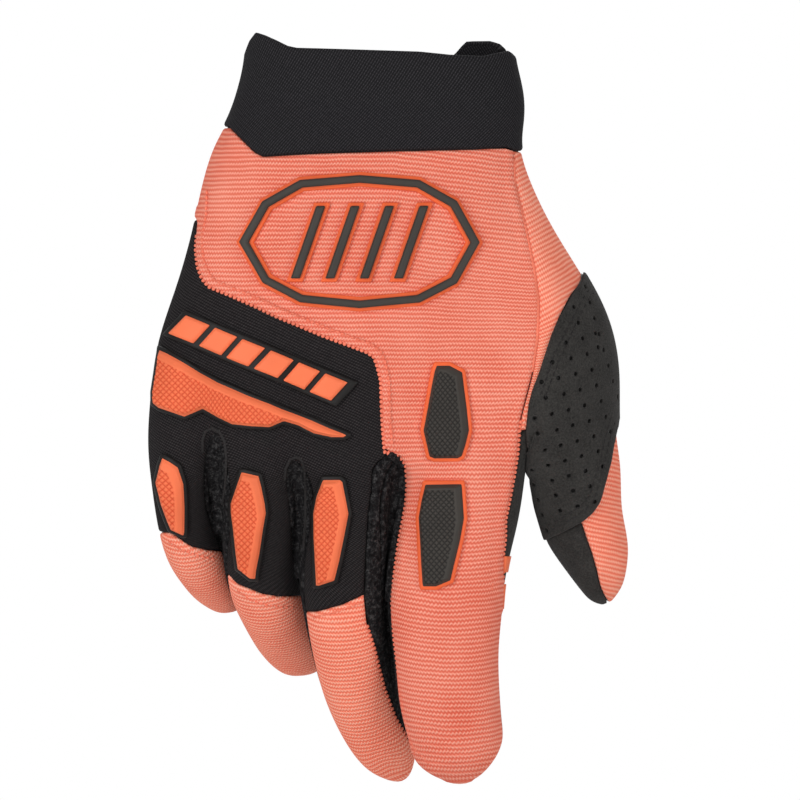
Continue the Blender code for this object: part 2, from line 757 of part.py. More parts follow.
class Cover:
    """Finds the form's outside in front of a place in the picture."""

    def __init__(self, points, faces):
        at = [Vector(p) for p in points[:, :3]]
        normals = points[:, 6:9]
        self.faces, self.at, self.normals = faces, at, normals
        self.tree = BVHTree.FromPolygons(at, [tuple(int(k) for k in f) for f in faces])

    def under(self, u, v):
        start = Vector(place(u, v, -80.0))
        hit, _, number, _ = self.tree.ray_cast(start, Vector((0, 1, 0)))
        if hit is None:
            hit, _, number, _ = self.tree.find_nearest(Vector(place(u, v, -12.0)))
        corners = self.faces[number]
        weights = np.array([1 / ((self.at[k] - hit).length + 0.05) ** 2 for k in corners])
        normal = (self.normals[corners] * weights[:, None]).sum(axis=0)
        return hit, Vector(normal).normalized()


def rubber(name, cover, grid, low, high):
    """A closed pad over a grid of picture places, between two heights above the form."""
    mesh = bmesh.new()
    rows, columns = len(grid), len(grid[0])
    layers = []
    for height in (low, high):
        layer = []
        for line in grid:
            feet = [cover.under(u, v) for u, v in line]
            layer.append([mesh.verts.new((foot + normal * height) / 1000)
                          for foot, normal in feet])
        layers.append(layer)
    under, over = layers
    for r in range(rows - 1):
        for c in range(columns - 1):
            mesh.faces.new((over[r][c], over[r + 1][c], over[r + 1][c + 1], over[r][c + 1]))
            mesh.faces.new((under[r][c], under[r][c + 1], under[r + 1][c + 1], under[r + 1][c]))
    around = [(0, c) for c in range(columns)]
    around += [(r, columns - 1) for r in range(1, rows)]
    around += [(rows - 1, c) for c in range(columns - 2, -1, -1)]
    around += [(r, 0) for r in range(rows - 2, 0, -1)]
    for (r, c), (p, q) in zip(around, around[1:] + around[:1]):
        mesh.faces.new((over[r][c], over[p][q], under[p][q], under[r][c]))
    bmesh.ops.recalc_face_normals(mesh, faces=mesh.faces[:])
    bmesh.ops.triangulate(mesh, faces=mesh.faces[:])
    return add_node(name, mesh)


def upright_grid(rows, inset, across=4):
    """Picture places for rows of v, left u, right u, drawn in by an inset in millimetres."""
    step = inset / UNIT
    first, last = rows[0][0] + step, rows[-1][0] - step
    places = np.clip([row[0] for row in rows], first, last)
    grid = []
    for v in places:
        left, right = ease(rows, v, 1) + step, ease(rows, v, 2) - step
        if right - left < 2:
            left = right = (left + right) / 2
            left, right = left - 1, right + 1
        grid.append([(u, v) for u in np.linspace(left, right, across)])
    return [line for k, line in enumerate(grid) if k == 0 or line[0][1] > grid[k - 1][0][1] + 0.5]


def slab(corners, down, across):
    """Picture places between four corners: upper left, upper right, lower left, lower right."""
    a, b, c, d = (np.array(corner, float) for corner in corners)
    grid = []
    for s in np.linspace(0, 1, down):
        start, end = a + (c - a) * s, b + (d - b) * s
        grid.append([tuple(start + (end - start) * t) for t in np.linspace(0, 1, across)])
    return grid


def spaced(outline, least):
    """An outline with its long sides divided into parts of at most the given length."""
    places = []
    for a, b in zip(outline, outline[1:] + outline[:1]):
        count = max(1, math.ceil(math.dist(a, b) / least))
        places += [tuple(np.add(a, np.multiply(np.subtract(b, a), k / count)))
                   for k in range(count)]
    return places


def inset_outline(outline, inset):
    """A convex outline drawn in by an inset in millimetres."""
    at = np.array(outline, float)
    before, after = at - np.roll(at, 1, axis=0), np.roll(at, -1, axis=0) - at
    normal = []
    for a, b in zip(before, after):
        n = a[::-1] * (-1, 1) / np.hypot(*a) + b[::-1] * (-1, 1) / np.hypot(*b)
        normal.append(2 * n / (n @ n))
    return at + np.array(normal) * inset / UNIT


def band(name, cover, outline, outer_inset, inner_inset, low, high):
    """A closed ring along an outline, between two insets and two heights."""
    mesh = bmesh.new()
    rings = []
    for inset in (outer_inset, inner_inset):
        for height in (low, high):
            feet = [cover.under(u, v) for u, v in inset_outline(outline, inset)]
            rings.append([mesh.verts.new((foot + normal * height) / 1000)
                          for foot, normal in feet])
    count = len(outline)
    for one, two in ((0, 1), (1, 3), (3, 2), (2, 0)):
        for k in range(count):
            after = (k + 1) % count
            mesh.faces.new((rings[one][k], rings[one][after], rings[two][after], rings[two][k]))
    bmesh.ops.recalc_face_normals(mesh, faces=mesh.faces[:])
    bmesh.ops.triangulate(mesh, faces=mesh.faces[:])
    return add_node(name, mesh)


def punch(node, cover):
    """Cuts the patch's rows of round holes, which turn with the surface."""
    mesh = bmesh.new()
    pitch = HOLE_PITCH / UNIT
    for row in range(-12, 16):
        for column in range(-12, 12):
            u = 585.7 + 0.28 * pitch * row - 0.97 * pitch * column
            v = 304 + 0.95 * pitch * row + 0.25 * pitch * column
            probe = np.array([[(u - MID_U) * UNIT, 0, (TOP_V - v) * UNIT]])
            if within(probe, PATCH)[0] < HOLE_MARGIN or u > float(np.interp(
                    v, (268, 300, 322, 339, 371, 417, 442, 485, 512),
                    (579, 598, 612, 617, 619, 617, 612, 603, 592))) - 7 or u < 534:
                continue
            foot, normal = cover.under(u, v)
            turn = normal.to_track_quat("Z", "Y").to_matrix().to_4x4()
            turn.translation = (foot + normal * 0.9) / 1000
            bmesh.ops.create_cone(
                mesh, cap_ends=True, segments=HOLE_SIDES, radius1=HOLE_SIZE / 2000,
                radius2=HOLE_SIZE / 2000, depth=0.005, matrix=turn)
    cutter = add_node("hole_cutter", mesh)
    change = node.modifiers.new("holes", "BOOLEAN")
    change.operation = "DIFFERENCE"
    change.solver = "EXACT"
    change.object = cutter
    bpy.context.view_layer.update()
    cut_node = node.evaluated_get(bpy.context.evaluated_depsgraph_get())
    cut = bpy.data.meshes.new_from_object(cut_node)
    node.modifiers.clear()
    node.data = cut
    bpy.data.objects.remove(cutter)


def level_grid(rows, inset, across=4):
    """Picture places for rows of u, upper v, lower v, drawn in by an inset."""
    turned = upright_grid(rows, inset, across)
    return [[(v, u) for u, v in line] for line in turned]


def main():
    for node in list(bpy.data.objects):
        bpy.data.objects.remove(node)
    points, faces, limbs = build_form(1)
    whole = Sheet(points, faces, limbs)
    gap = SEAM_GAP / 2

    # Cuff with its tab, and the rest of the glove below the seam
    hand = whole.keep_limbs((0,))
    cuff = hand.clip(lambda p: above_line(p, CUFF_SEAM), gap)
    cuff = cuff.clip(lambda p: -above_line(p, CUFF_RIM), 0)
    solid("cuff", cuff, CUFF_PROUD, CUFF_PROUD - NEOPRENE_WALL)
    tab = hand.clip(lambda p: within(p, CUFF_TAB)).clip(lambda p: (p[:, 3] - 0.45) * 14)
    solid("cuff_tab", tab, CUFF_PROUD + LAYER_GAP + TAB_WALL, CUFF_PROUD + LAYER_GAP)
    below = whole.clip(lambda p: -above_line(p, CUFF_SEAM), gap)

    # Fabric and suede panels
    back = below.keep_limbs((0, 4)).clip(back_field, gap)
    back = back.clip(lambda p: within(p, CORAL), gap)
    solid("back_panel", back, 0, -KNIT_WALL, 3.0)
    knuckles = below.keep_limbs((0, 1, 2, 3)).clip(back_field, gap)
    knuckles = knuckles.clip(lambda p: within(p, KNUCKLES), gap)
    for number, edge in enumerate(TIP_EDGES, start=1):
        knuckles = knuckles.clip(lambda p: np.where(
            np.round(p[:, LIMB]) == number, above_line(p, edge), 30.0), gap)
        tip = below.keep_limbs((number,)).clip(back_field, gap)
        tip = tip.clip(lambda p: -above_line(p, edge), gap)
        solid(FINGERS[number - 1] + "_tip", tip, 0, -KNIT_WALL)
    solid("knuckle_panel", knuckles, 0, -KNIT_WALL, 2.5)
    for number in (1, 2, 3):
        pair = below.keep_limbs((number, number + 1)).clip(lambda p: -back_field(p), gap)
        pair = pair.clip(lambda p: (WEB_END - p[:, 4]) * 90)
        pair = pair.clip(web_field, gap + 0.25)
        web = [piece for piece in pair.pieces() if len(set(piece.limbs)) == 2][0]
        name = FINGERS[number - 1] + "_" + FINGERS[number] + "_fourchette"
        solid(name, web, 0, -KNIT_WALL)
    palm = below.clip(palm_turn_field, gap, both=True).clip(palm_rule, gap, both=True)
    palm = palm.keep(palm_rule, gap)
    palm = palm.pieces()[0]
    solid("palm", palm, 0, -SUEDE_WALL)
    thumb = below.keep_limbs((0, 5)).clip(thumb_side_field, gap)
    thumb = thumb.clip(thumb_pad_field, gap + 0.7)
    thumb = thumb.clip(back_field, gap)
    solid("thumb_panel", thumb, 0, -KNIT_WALL, 1.5)
    patch = below.keep_limbs((0, 5)).clip(patch_turn_field).clip(lambda p: within(p, PATCH))
    patch = patch.clip(off_crest)
    low = LAYER_GAP + 0.1
    patch = solid("thumb_patch", patch, low + PATCH_WALL, low, 1.5)

    # Rubber
    cover = Cover(points, faces)
    low = RUBBER_GAP
    high = low + RIM_HEIGHT
    top = high + LAYER_GAP
    punch(patch, cover)
    for name, rows in GUARDS:
        rubber(name + "_rim", cover, upright_grid(rows, 0), low, high)
        rubber(name, cover, upright_grid(rows, RIM_WIDTH), top, top + PAD_HEIGHT)
    rubber("knuckle_guard_rim", cover, level_grid(KNUCKLE_GUARD, 0), low, high)
    rubber("knuckle_guard", cover, level_grid(KNUCKLE_GUARD, RIM_WIDTH), top, top + PAD_HEIGHT)
    loop = spaced(BADGE, 26)
    band("badge_rim", cover, loop, 0, BADGE_BAND + 2 * RIM_WIDTH, low, high)
    band("badge", cover, loop, RIM_WIDTH, BADGE_BAND + RIM_WIDTH, top, top + BADGE_HEIGHT)
    for number in range(BADGE_BARS):
        middle = BADGE_MIDDLE_U + (number - (BADGE_BARS - 1) / 2) * BADGE_BAR_PITCH
        for extra, name, under, over in ((RIM_WIDTH, "_rim", low, high),
                                         (0, "", top, top + BADGE_HEIGHT)):
            half = BADGE_BAR / 2 + extra / UNIT
            reach = BADGE_BAR_REACH + extra / UNIT
            lean = BADGE_BAR_LEAN * reach
            corners = ((middle - half + lean, BADGE_MIDDLE_V - reach),
                       (middle + half + lean, BADGE_MIDDLE_V - reach),
                       (middle - half - lean, BADGE_MIDDLE_V + reach),
                       (middle + half - lean, BADGE_MIDDLE_V + reach))
            rubber(f"badge_bar_{number + 1}{name}", cover, slab(corners, 5, 2), under, over)
    along = np.subtract(STRIP_END, STRIP_START)
    length = np.hypot(*along)
    along = along / length
    aside = np.array((-along[1], along[0]))
    step = length / STRIP_BLOCKS

    def strip_corners(first, last, half):
        """Corners of a slanted piece of the strip between two ways along it."""
        return [np.array(STRIP_START) + along * (way - STRIP_LEAN * side * half) + aside * side * half
                for side in (-1, 1) for way in (first, last)]

    half = STRIP_HEIGHT / 2
    rubber("strip_base", cover, slab(strip_corners(-4, length + 4, half + 4), 3, 15), low, high)
    for number in range(STRIP_BLOCKS):
        first = number * step + 2
        corners = strip_corners(first, first + step - 6, half)
        rubber(f"strip_block_{number + 1}", cover, slab(corners, 3, 3), top, top + STRIP_RAISE)


main()
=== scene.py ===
import math

import bmesh
import bpy
import numpy as np
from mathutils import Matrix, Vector
from mathutils.bvhtree import BVHTree
from mathutils.kdtree import KDTree


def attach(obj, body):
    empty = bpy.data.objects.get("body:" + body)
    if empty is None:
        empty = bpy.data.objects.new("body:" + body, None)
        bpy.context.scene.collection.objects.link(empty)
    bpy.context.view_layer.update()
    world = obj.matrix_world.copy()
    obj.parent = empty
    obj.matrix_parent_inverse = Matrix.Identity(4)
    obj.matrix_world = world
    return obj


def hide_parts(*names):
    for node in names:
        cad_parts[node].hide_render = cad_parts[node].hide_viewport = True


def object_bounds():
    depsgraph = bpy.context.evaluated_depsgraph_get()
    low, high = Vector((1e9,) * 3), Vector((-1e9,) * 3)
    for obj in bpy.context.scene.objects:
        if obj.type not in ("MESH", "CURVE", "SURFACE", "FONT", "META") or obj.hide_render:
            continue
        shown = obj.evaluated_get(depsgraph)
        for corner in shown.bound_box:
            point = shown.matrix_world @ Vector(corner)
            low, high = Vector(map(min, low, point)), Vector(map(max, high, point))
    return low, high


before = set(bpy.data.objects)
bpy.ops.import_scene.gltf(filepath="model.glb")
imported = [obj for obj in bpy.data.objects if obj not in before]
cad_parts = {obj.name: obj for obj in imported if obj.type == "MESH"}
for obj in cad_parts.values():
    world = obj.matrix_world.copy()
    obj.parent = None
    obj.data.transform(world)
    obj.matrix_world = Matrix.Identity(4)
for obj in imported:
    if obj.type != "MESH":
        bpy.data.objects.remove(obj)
cad_box = [list(map(float, corner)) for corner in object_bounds()]

# Lengths are in millimetres and outlines in picture units, as in the part's source
UNIT = 0.29
MID_U = 388.0
TOP_V = 45.0

KNIT_WALL = 1.3
SUEDE_WALL = 1.2
NEOPRENE_WALL = 2.2
SEAM_GAP = 0.1
ROUNDS = 3
LAYER_GAP = 0.35
RUBBER_GAP = 0.55
PATCH_WALL = 1.0
HOLE_SIZE = 1.5
HOLE_PITCH = 4.7
RIM_WIDTH = 1.0
RIM_HEIGHT = 0.9
PAD_HEIGHT = 1.7
CUFF_PROUD = 0.6
TAB_WALL = 1.8

# Where the finger lines lie across the hand, from the little finger's side to the thumb's
ACROSS = (0.035, 0.10, 0.178, 0.28, 0.388, 0.52, 0.659, 0.82, 0.962)

# Rows of the hand: v, left u, right u, middle y, half depth, valley between the knuckles
HAND = (
    (24, 246, 514, 2.0, 19.0, 0.0),
    (56, 246, 514, 2.0, 19.0, 0.0),
    (90, 239, 521, 2.0, 19.0, 0.0),
    (120, 228, 522, 1.5, 18.5, 0.0),
    (150, 213, 521, 1.0, 18.0, 0.0),
    (190, 201, 534, 0.5, 17.8, 0.0),
    (235, 191, 557, 0.0, 17.6, 0.0),
    (287, 176, 561, 0.0, 17.4, 0.0),
    (340, 159, 558, 0.0, 17.2, 0.6),
    (392, 151, 547, 0.0, 17.0, 1.6),
)
THUMB_ROW = 6

# The row where the fingers part, back of the hand then palm side: v at each finger line
PART_BACK_V = (437, 440, 431, 446, 458, 460, 456, 450, 445)
PART_PALM_V = (448, 452, 458, 460, 472, 467, 472, 460, 447)
PART_LEFT, PART_RIGHT, PART_DEPTH, PART_VALLEY = 148, 529, 15.5, 3.4
# The webs and the two outer sides: u, v, y
WEBS = ((148, 443, 2.0), (215, 455, 3.0), (296, 480, 3.0), (400, 481, 2.0), (527, 461, 3.0))

# Rows of each finger: u, v, y, half width in units, half depth
LITTLE = (
    (182, 488, 3, 30, 9.5),
    (187, 520, 7, 30, 9.5),
    (194, 546, 14, 30, 9.3),
    (205, 566, 23, 29, 9.0),
    (216, 581, 33, 27, 8.5),
    (226, 592, 42, 22, 7.0),
)
RING = (
    (260, 497, 0, 38, 11.5),
    (260, 538, 4, 38, 11.5),
    (264, 576, 13, 38, 11.3),
    (276, 608, 25, 37, 11.0),
    (289, 634, 38, 36, 10.0),
    (299, 652, 49, 30, 8.5),
)
MIDDLE = (
    (347, 502, -1, 45, 12.0),
    (344, 542, 0, 45, 12.0),
    (343, 580, 3, 44, 11.8),
    (347, 618, 8, 42, 11.5),
    (353, 655, 15, 40, 11.0),
    (363, 694, 23, 38, 10.5),
    (376, 728, 30, 35, 9.5),
    (390, 757, 36, 28, 7.5),
)
INDEX = (
    (460, 500, 0, 61, 12.0),
    (452, 540, 0, 60, 12.0),
    (446, 578, 0, 59, 12.0),
    (445, 613, 1, 57, 12.0),
    (446, 652, 3, 53, 11.8),
    (449, 695, 5, 51, 11.3),
    (455, 731, 8, 48, 10.3),
    (460, 759, 10, 40, 8.3),
)
TIPS = ((234, 600, 50), (307, 664, 59), (403, 783, 41), (466, 783, 12))
# Rows of the thumb: outer u, v, inner u, v, middle y, half depth
THUMB = (
    (587, 284, 528, 471, 2, 16.5),
    (607, 328, 530, 481, 5, 16.0),
    (615, 375, 533, 493, 8, 15.3),
    (616, 425, 536, 507, 11, 14.5),
    (621, 468, 542, 527, 13, 13.8),
    (623, 510, 549, 545, 15, 12.8),
    (629, 550, 565, 569, 17, 10.8),
    (625, 581, 585, 595, 18, 7.0),
)
THUMB_TIP = (608, 605, 19)

# Outlines in the picture: u, v
CUFF_SEAM = (
    (140, 118), (229, 127), (245, 143), (254, 152), (263, 157), (319, 154), (390, 152),
    (469, 150), (505, 148), (515, 151), (700, 151),
)
CUFF_RIM = (
    (140, 60), (246, 52), (250, 41), (256, 33), (265, 36), (276, 41), (288, 47), (297, 49),
    (420, 53), (450, 56), (482, 57), (509, 51), (519, 60), (700, 60),
)
# Shared edges: the black cloth's border, the thumb's seam, and both sides of the index finger
BORDER = (
    (100, 190), (188, 208), (197, 222), (196, 234), (195, 249), (197, 266), (202, 279),
    (209, 287), (231, 296), (256, 307), (277, 317), (299, 326), (325, 337), (350, 346),
    (366, 352), (374, 357), (377, 365), (381, 381), (382, 412), (383, 431), (385, 453),
    (394, 454), (401, 460),
)
THUMB_SEAM = (
    (514, 150), (515, 181), (519, 199), (525, 225), (530, 249), (534, 270), (538, 300),
    (538, 314), (537, 340), (532, 374), (526, 397), (521, 417), (519, 431),
)
INDEX_RIGHT = (
    (518, 453), (515, 474), (511, 496), (506, 520), (506, 538), (504, 556), (504, 574),
    (505, 591), (509, 606), (516, 622),
)
INDEX_LEFT = (
    (390, 603), (390, 589), (393, 578), (395, 562), (398, 540), (402, 520), (405, 503),
    (406, 486), (405, 465),
)
CORAL = (((100, 90), (514, 90)) + THUMB_SEAM + INDEX_RIGHT
         + ((516, 790), (400, 790), (380, 700), (380, 640)) + INDEX_LEFT + BORDER[::-1])
KNUCKLES = ((401, 640),) + BORDER[::-1] + ((100, 640),)
THUMB_SIDE = ((514, 100),) + THUMB_SEAM + ((519, 520), (700, 520), (700, 100))
CUFF_TAB = (
    (330, 62), (450, 56), (464, 39), (487, 39), (496, 42), (503, 50), (507, 102), (330, 100),
)
THUMB_PAD = (
    (519, 431), (540, 431), (541, 460), (544, 500), (549, 532), (560, 531), (581, 522),
    (587, 540), (592, 554), (597, 572), (600, 586), (605, 597), (609, 603), (612, 640),
    (480, 640),
) + INDEX_RIGHT[5::-1]
PATCH = (
    (525, 470), (525, 431), (528, 404), (532, 389), (538, 374), (544, 356), (551, 335),
    (559, 315), (569, 296), (580, 282), (582, 262), (700, 262), (700, 417), (617, 417),
    (612, 442), (609, 462), (603, 485), (599, 501), (592, 512), (582, 521), (564, 531),
    (546, 540), (500, 552),
)
# Where each finger's black panel ends: u, v
TIP_EDGES = (
    ((130, 530), (170, 534), (192, 548), (208, 551), (260, 551)),
    ((200, 570), (227, 575), (236, 585), (261, 595), (279, 598), (320, 595)),
    ((280, 612), (316, 612), (342, 605), (364, 595), (400, 590)),
)

# Rubber pieces: rows of v, left u, right u
GUARDS = (
    ("little_guard", (
        (454, 163, 167), (458, 162, 174), (464, 160, 182), (482, 156, 187), (505, 161, 188),
        (520, 166, 188), (530, 170, 188), (536, 182, 187))),
    ("ring_guard", (
        (468, 241, 246), (472, 240, 262), (485, 236, 265), (502, 231, 268), (512, 231, 269),
        (530, 233, 266), (552, 235, 263), (568, 237, 260), (579, 250, 259))),
    ("middle_guard", (
        (475, 323, 342), (479, 321, 346), (495, 316, 349), (513, 313, 352), (535, 313, 348),
        (560, 314, 343), (581, 315, 338), (587, 315, 322))),
    ("index_guard_upper", (
        (362, 434, 450), (370, 431, 465), (385, 428, 467), (408, 424, 470), (430, 420, 472),
        (446, 424, 468), (458, 427, 464), (461, 434, 458))),
    ("index_guard_lower", (
        (480, 424, 464), (486, 423, 465), (500, 420, 466), (518, 417, 467), (540, 418, 463),
        (565, 419, 457), (582, 420, 453), (589, 421, 437))),
)
# The knuckle guard: rows of u, upper v, lower v
KNUCKLE_GUARD = (
    (154, 392, 405), (161, 346, 411), (172, 351, 415), (186, 359, 420), (203, 370, 412),
    (220, 379, 420), (234, 385, 427), (252, 393, 429), (270, 400, 430), (284, 406, 424),
    (298, 411, 428), (314, 417, 436), (332, 425, 440), (345, 430, 440), (351, 433, 436),
)
# The badge on the back: the outside of its band, then its leaning bars
BADGE = (
    (238, 243), (262, 200), (300, 178), (360, 173), (420, 178), (458, 200), (482, 243),
    (458, 286), (420, 306), (360, 312), (300, 306), (262, 286),
)
BADGE_BAND = 2.2
BADGE_HEIGHT = 1.2
BADGE_BARS = 4
BADGE_BAR = 9.0
BADGE_BAR_PITCH = 34.0
BADGE_BAR_REACH = 36.0
BADGE_BAR_LEAN = 0.35
BADGE_MIDDLE_U, BADGE_MIDDLE_V = 360.0, 243.0
# The row of raised blocks over the knuckles: u and v of its ends, height in units, lean
STRIP_START, STRIP_END = (180, 325), (344, 393)
STRIP_HEIGHT = 23.0
STRIP_LEAN = 0.35
STRIP_BLOCKS = 6
STRIP_RAISE = 1.0
STRIP_MARGIN, STRIP_BREAK = 4, 6

FINGERS = ("little", "ring", "middle", "index")
# Columns of a point's channels; those before them are x, y, z, w, t, run and the normal
LIMB, ROOT, FIXED, AROUND = 9, 10, 11, 12
# A turn's length in millimetres, nearly
TURN_LENGTH = 14.0
# The middle of the index finger, and a field's value where it has no say
INDEX_U = 440
CLEAR = 30.0
TAB_TURN = 0.45
# Turns, from -1 at the back of the hand to 1 at the palm, at which panels end
LEFT_TURN = 0.3
THUMB_TURN = 0.45
PATCH_TURN = 0.38
PATCH_INNER_TURN = -0.25
WEB_TURN = 0.55


def place(u, v, y):
    """A place in millimetres, from one in the picture and a depth."""
    return np.array(((u - MID_U) * UNIT, y, (TOP_V - v) * UNIT))


def ease(table, at, column=1):
    """Reads one column of a table at the places given, its first column being the place."""
    rows = sorted(table)
    return np.interp(at, [row[0] for row in rows], [row[column] for row in rows])


# The form: a cage whose limit surface runs through the points of the tables above

def build_cage():
    """Gives the points with their channels, the four-sided faces and a limb number for each.

    Channels after x, y, z: w, -1 at the back of the hand and 1 at the palm, t, 0 to 1 along a
    finger, run, the distance from the wrist in millimetres, and the way round the glove.
    """
    points, faces, limbs = [], [], []

    def add(position, w, t, run, around=0.0):
        points.append((*position, w, t, run, around))
        return len(points) - 1

    rings = []
    for number, (v, left, right, mid_y, half, valley) in enumerate(HAND):
        in_thumb = number > THUMB_ROW
        back, palm = [], []
        for column, part in enumerate(ACROSS):
            edge = 2 * part - 1
            depth = half * (1 - abs(edge) ** 2.5) ** 0.4
            if in_thumb and column == 8:
                depth = half * 0.84
            dip = valley if column in (2, 4, 6) else 0
            u = left + part * (right - left)
            w = -0.72 if column in (0, 8) and not (in_thumb and column == 8) else -1.0
            back.append(add(place(u, v, mid_y - depth + dip), w, 0, (v - TOP_V) * UNIT))
            palm.append(add(place(u, v, mid_y + depth), -w, 0, (v - TOP_V) * UNIT))
        outer = None
        if not in_thumb:
            outer = add(place(right, v, mid_y), 0, 0, (v - TOP_V) * UNIT)
        inner = add(place(left, v, mid_y), 0, 0, (v - TOP_V) * UNIT)
        rings.append(back + [outer] + palm[::-1] + [inner])
    back, palm = [], []
    for column, part in enumerate(ACROSS):
        edge = 2 * part - 1
        depth = PART_DEPTH * (1 - abs(edge) ** 2.5) ** 0.4
        dip = PART_VALLEY if column in (2, 4, 6) else 0
        u = PART_LEFT + part * (PART_RIGHT - PART_LEFT)
        if column == 8:
            u, depth = PART_RIGHT - 3.5, PART_DEPTH * 0.58
        v_back, v_palm = PART_BACK_V[column], PART_PALM_V[column]
        w = -0.71 if column % 2 == 0 else -1.0
        back.append(add(place(u, v_back, dip - depth), w, 0, (v_back - TOP_V) * UNIT))
        palm.append(add(place(u, v_palm, depth - dip), -w, 0, (v_palm - TOP_V) * UNIT))
    webs = [add(place(*web), 0, 0, (web[1] - TOP_V) * UNIT) for web in WEBS]
    rings.append(back + [webs[4]] + palm[::-1] + [webs[0]])

    for ring in rings:
        for step in (1, -1):
            way, last = 0.0, ring[4]
            for k in range(4 + step, 4 + 11 * step, step):
                if ring[k] is None:
                    continue
                way += step * math.dist(points[last][:3], points[ring[k]][:3])
                points[ring[k]] = (*points[ring[k]][:6], way)
                last = ring[k]

    for upper, lower in zip(rings, rings[1:]):
        for k in range(20):
            after = (k + 1) % 20
            corners = (upper[k], lower[k], lower[after], upper[after])
            if k in (8, 9) and rings.index(upper) >= THUMB_ROW:
                continue
            faces.append(corners)
            limbs.append(0)

    def tube(ring, next_rings, tip, limb):
        for new in next_rings:
            for k in range(len(ring)):
                after = (k + 1) % len(ring)
                faces.append((ring[k], new[k], new[after], ring[after]))
                limbs.append(limb)
            ring = new
        for k in range(0, len(ring), 2):
            faces.append((ring[k + 1], ring[k], ring[k - 1], tip))
            limbs.append(limb)

    for finger, table in enumerate((LITTLE, RING, MIDDLE, INDEX)):
        first = 2 * finger
        base = [back[first], back[first + 1], back[first + 2], webs[finger + 1],
                palm[first + 2], palm[first + 1], palm[first], webs[finger]]
        root = np.mean([points[k][:3] for k in base], axis=0)
        middles = [root] + [place(*row[:3]) for row in table] + [place(*TIPS[finger])]
        run = (455 - TOP_V) * UNIT
        middle_way = points[base[1]][6]
        new_rings = []
        for k, (u, v, y, half, depth) in enumerate(table, start=1):
            way = middles[k + 1] - middles[k - 1]
            way /= np.linalg.norm(way)
            across = np.array((1.0, 0.0, 0.0)) - way[0] * way
            across /= np.linalg.norm(across)
            out = np.cross(across, way)
            if out[1] > 0:
                out = -out
            run += np.linalg.norm(middles[k] - middles[k - 1])
            ring = []
            for turn in (135, 90, 45, 0, -45, -90, -135, 180):
                c, s = math.cos(math.radians(turn)), math.sin(math.radians(turn))
                square = 1.04 if turn % 90 else 1.0
                at = middles[k] + across * c * half * UNIT * square + out * s * depth * square
                turned = (90 - turn + 180) % 360 - 180
                way_round = middle_way + math.radians(turned) * (half * UNIT + depth) / 2
                ring.append(add(at, -s, k / (len(table) + 1), run, way_round))
            new_rings.append(ring)
        tip = add(middles[-1], 0, 1, run + np.linalg.norm(middles[-1] - middles[-2]), middle_way)
        tube(base, new_rings, tip, finger + 1)

    # The thumb leaves the hand's side through an opening of twelve points
    rows = rings[THUMB_ROW:]
    base = [webs[4]] + [row[8] for row in rows[::-1]] + [rows[0][9]] + [row[10] for row in rows]
    new_rings = []
    middle_way = points[base[2]][6] + 12
    run = (330 - TOP_V) * UNIT
    for k, (outer_u, outer_v, inner_u, inner_v, mid_y, depth) in enumerate(THUMB, start=1):
        outer, inner = place(outer_u, outer_v, mid_y), place(inner_u, inner_v, mid_y)
        middle, half = (outer + inner) / 2, (outer - inner) / 2
        run += 9.0
        ring = []
        for step in range(12):
            turn = math.radians(180 - 30 * step)
            c, s = math.cos(turn), math.sin(turn)
            at = middle + half * c + np.array((0, -depth * s, 0))
            way_round = middle_way + (30 * step - 90) * math.pi / 180 * 14
            ring.append(add(at, -s, k / (len(THUMB) + 1), run, way_round))
        new_rings.append(ring)
    tip = add(place(*THUMB_TIP), 0, 1, run + 6, middle_way)
    tube(base, new_rings, tip, 5)
    return np.array(points), np.array(faces), np.array(limbs)


def neighbours(faces):
    """Edges, the faces' edge numbers, and how many faces each edge has."""
    pairs = np.concatenate([faces[:, [k, (k + 1) % 4]] for k in range(4)])
    edges, back = np.unique(np.sort(pairs, axis=1), axis=0, return_inverse=True)
    back = back.reshape(4, -1).T
    uses = np.bincount(back.ravel(), minlength=len(edges))
    return edges, back, uses


def subdivide(points, faces, limbs):
    """One round of Catmull-Clark subdivision, for all channels alike."""
    count = len(points)
    edges, back, uses = neighbours(faces)
    centres = points[faces].mean(axis=1)
    halves = points[edges].mean(axis=1)
    sums = np.zeros_like(halves)
    np.add.at(sums, back.ravel(), np.repeat(centres, 4, axis=0))
    inside = (uses == 2)[:, None]
    edge_points = np.where(inside, halves / 2 + sums / 4, halves)
    face_sum, face_count = np.zeros_like(points), np.zeros(count)
    np.add.at(face_sum, faces.ravel(), np.repeat(centres, 4, axis=0))
    np.add.at(face_count, faces.ravel(), 1)
    half_sum, half_count = np.zeros_like(points), np.zeros(count)
    rim_sum, on_rim = np.zeros_like(points), np.zeros(count, bool)
    for end in (0, 1):
        np.add.at(half_sum, edges[:, end], halves)
        np.add.at(half_count, edges[:, end], 1)
        rim = uses == 1
        np.add.at(rim_sum, edges[rim, end], halves[rim])
        on_rim[edges[rim, end]] = True
    n = face_count[:, None]
    moved = (face_sum / n + 2 * half_sum / half_count[:, None] + (n - 3) * points) / n
    moved = np.where(on_rim[:, None], (rim_sum + 2 * points) / 4, moved)
    fresh = np.concatenate([moved, edge_points, centres])
    e0, f0 = count, count + len(edges)
    middle = f0 + np.arange(len(faces))
    quads = [np.stack([faces[:, k], e0 + back[:, k], middle, e0 + back[:, k - 1]], axis=1)
             for k in range(4)]
    return fresh, np.concatenate(quads), np.tile(limbs, 4)


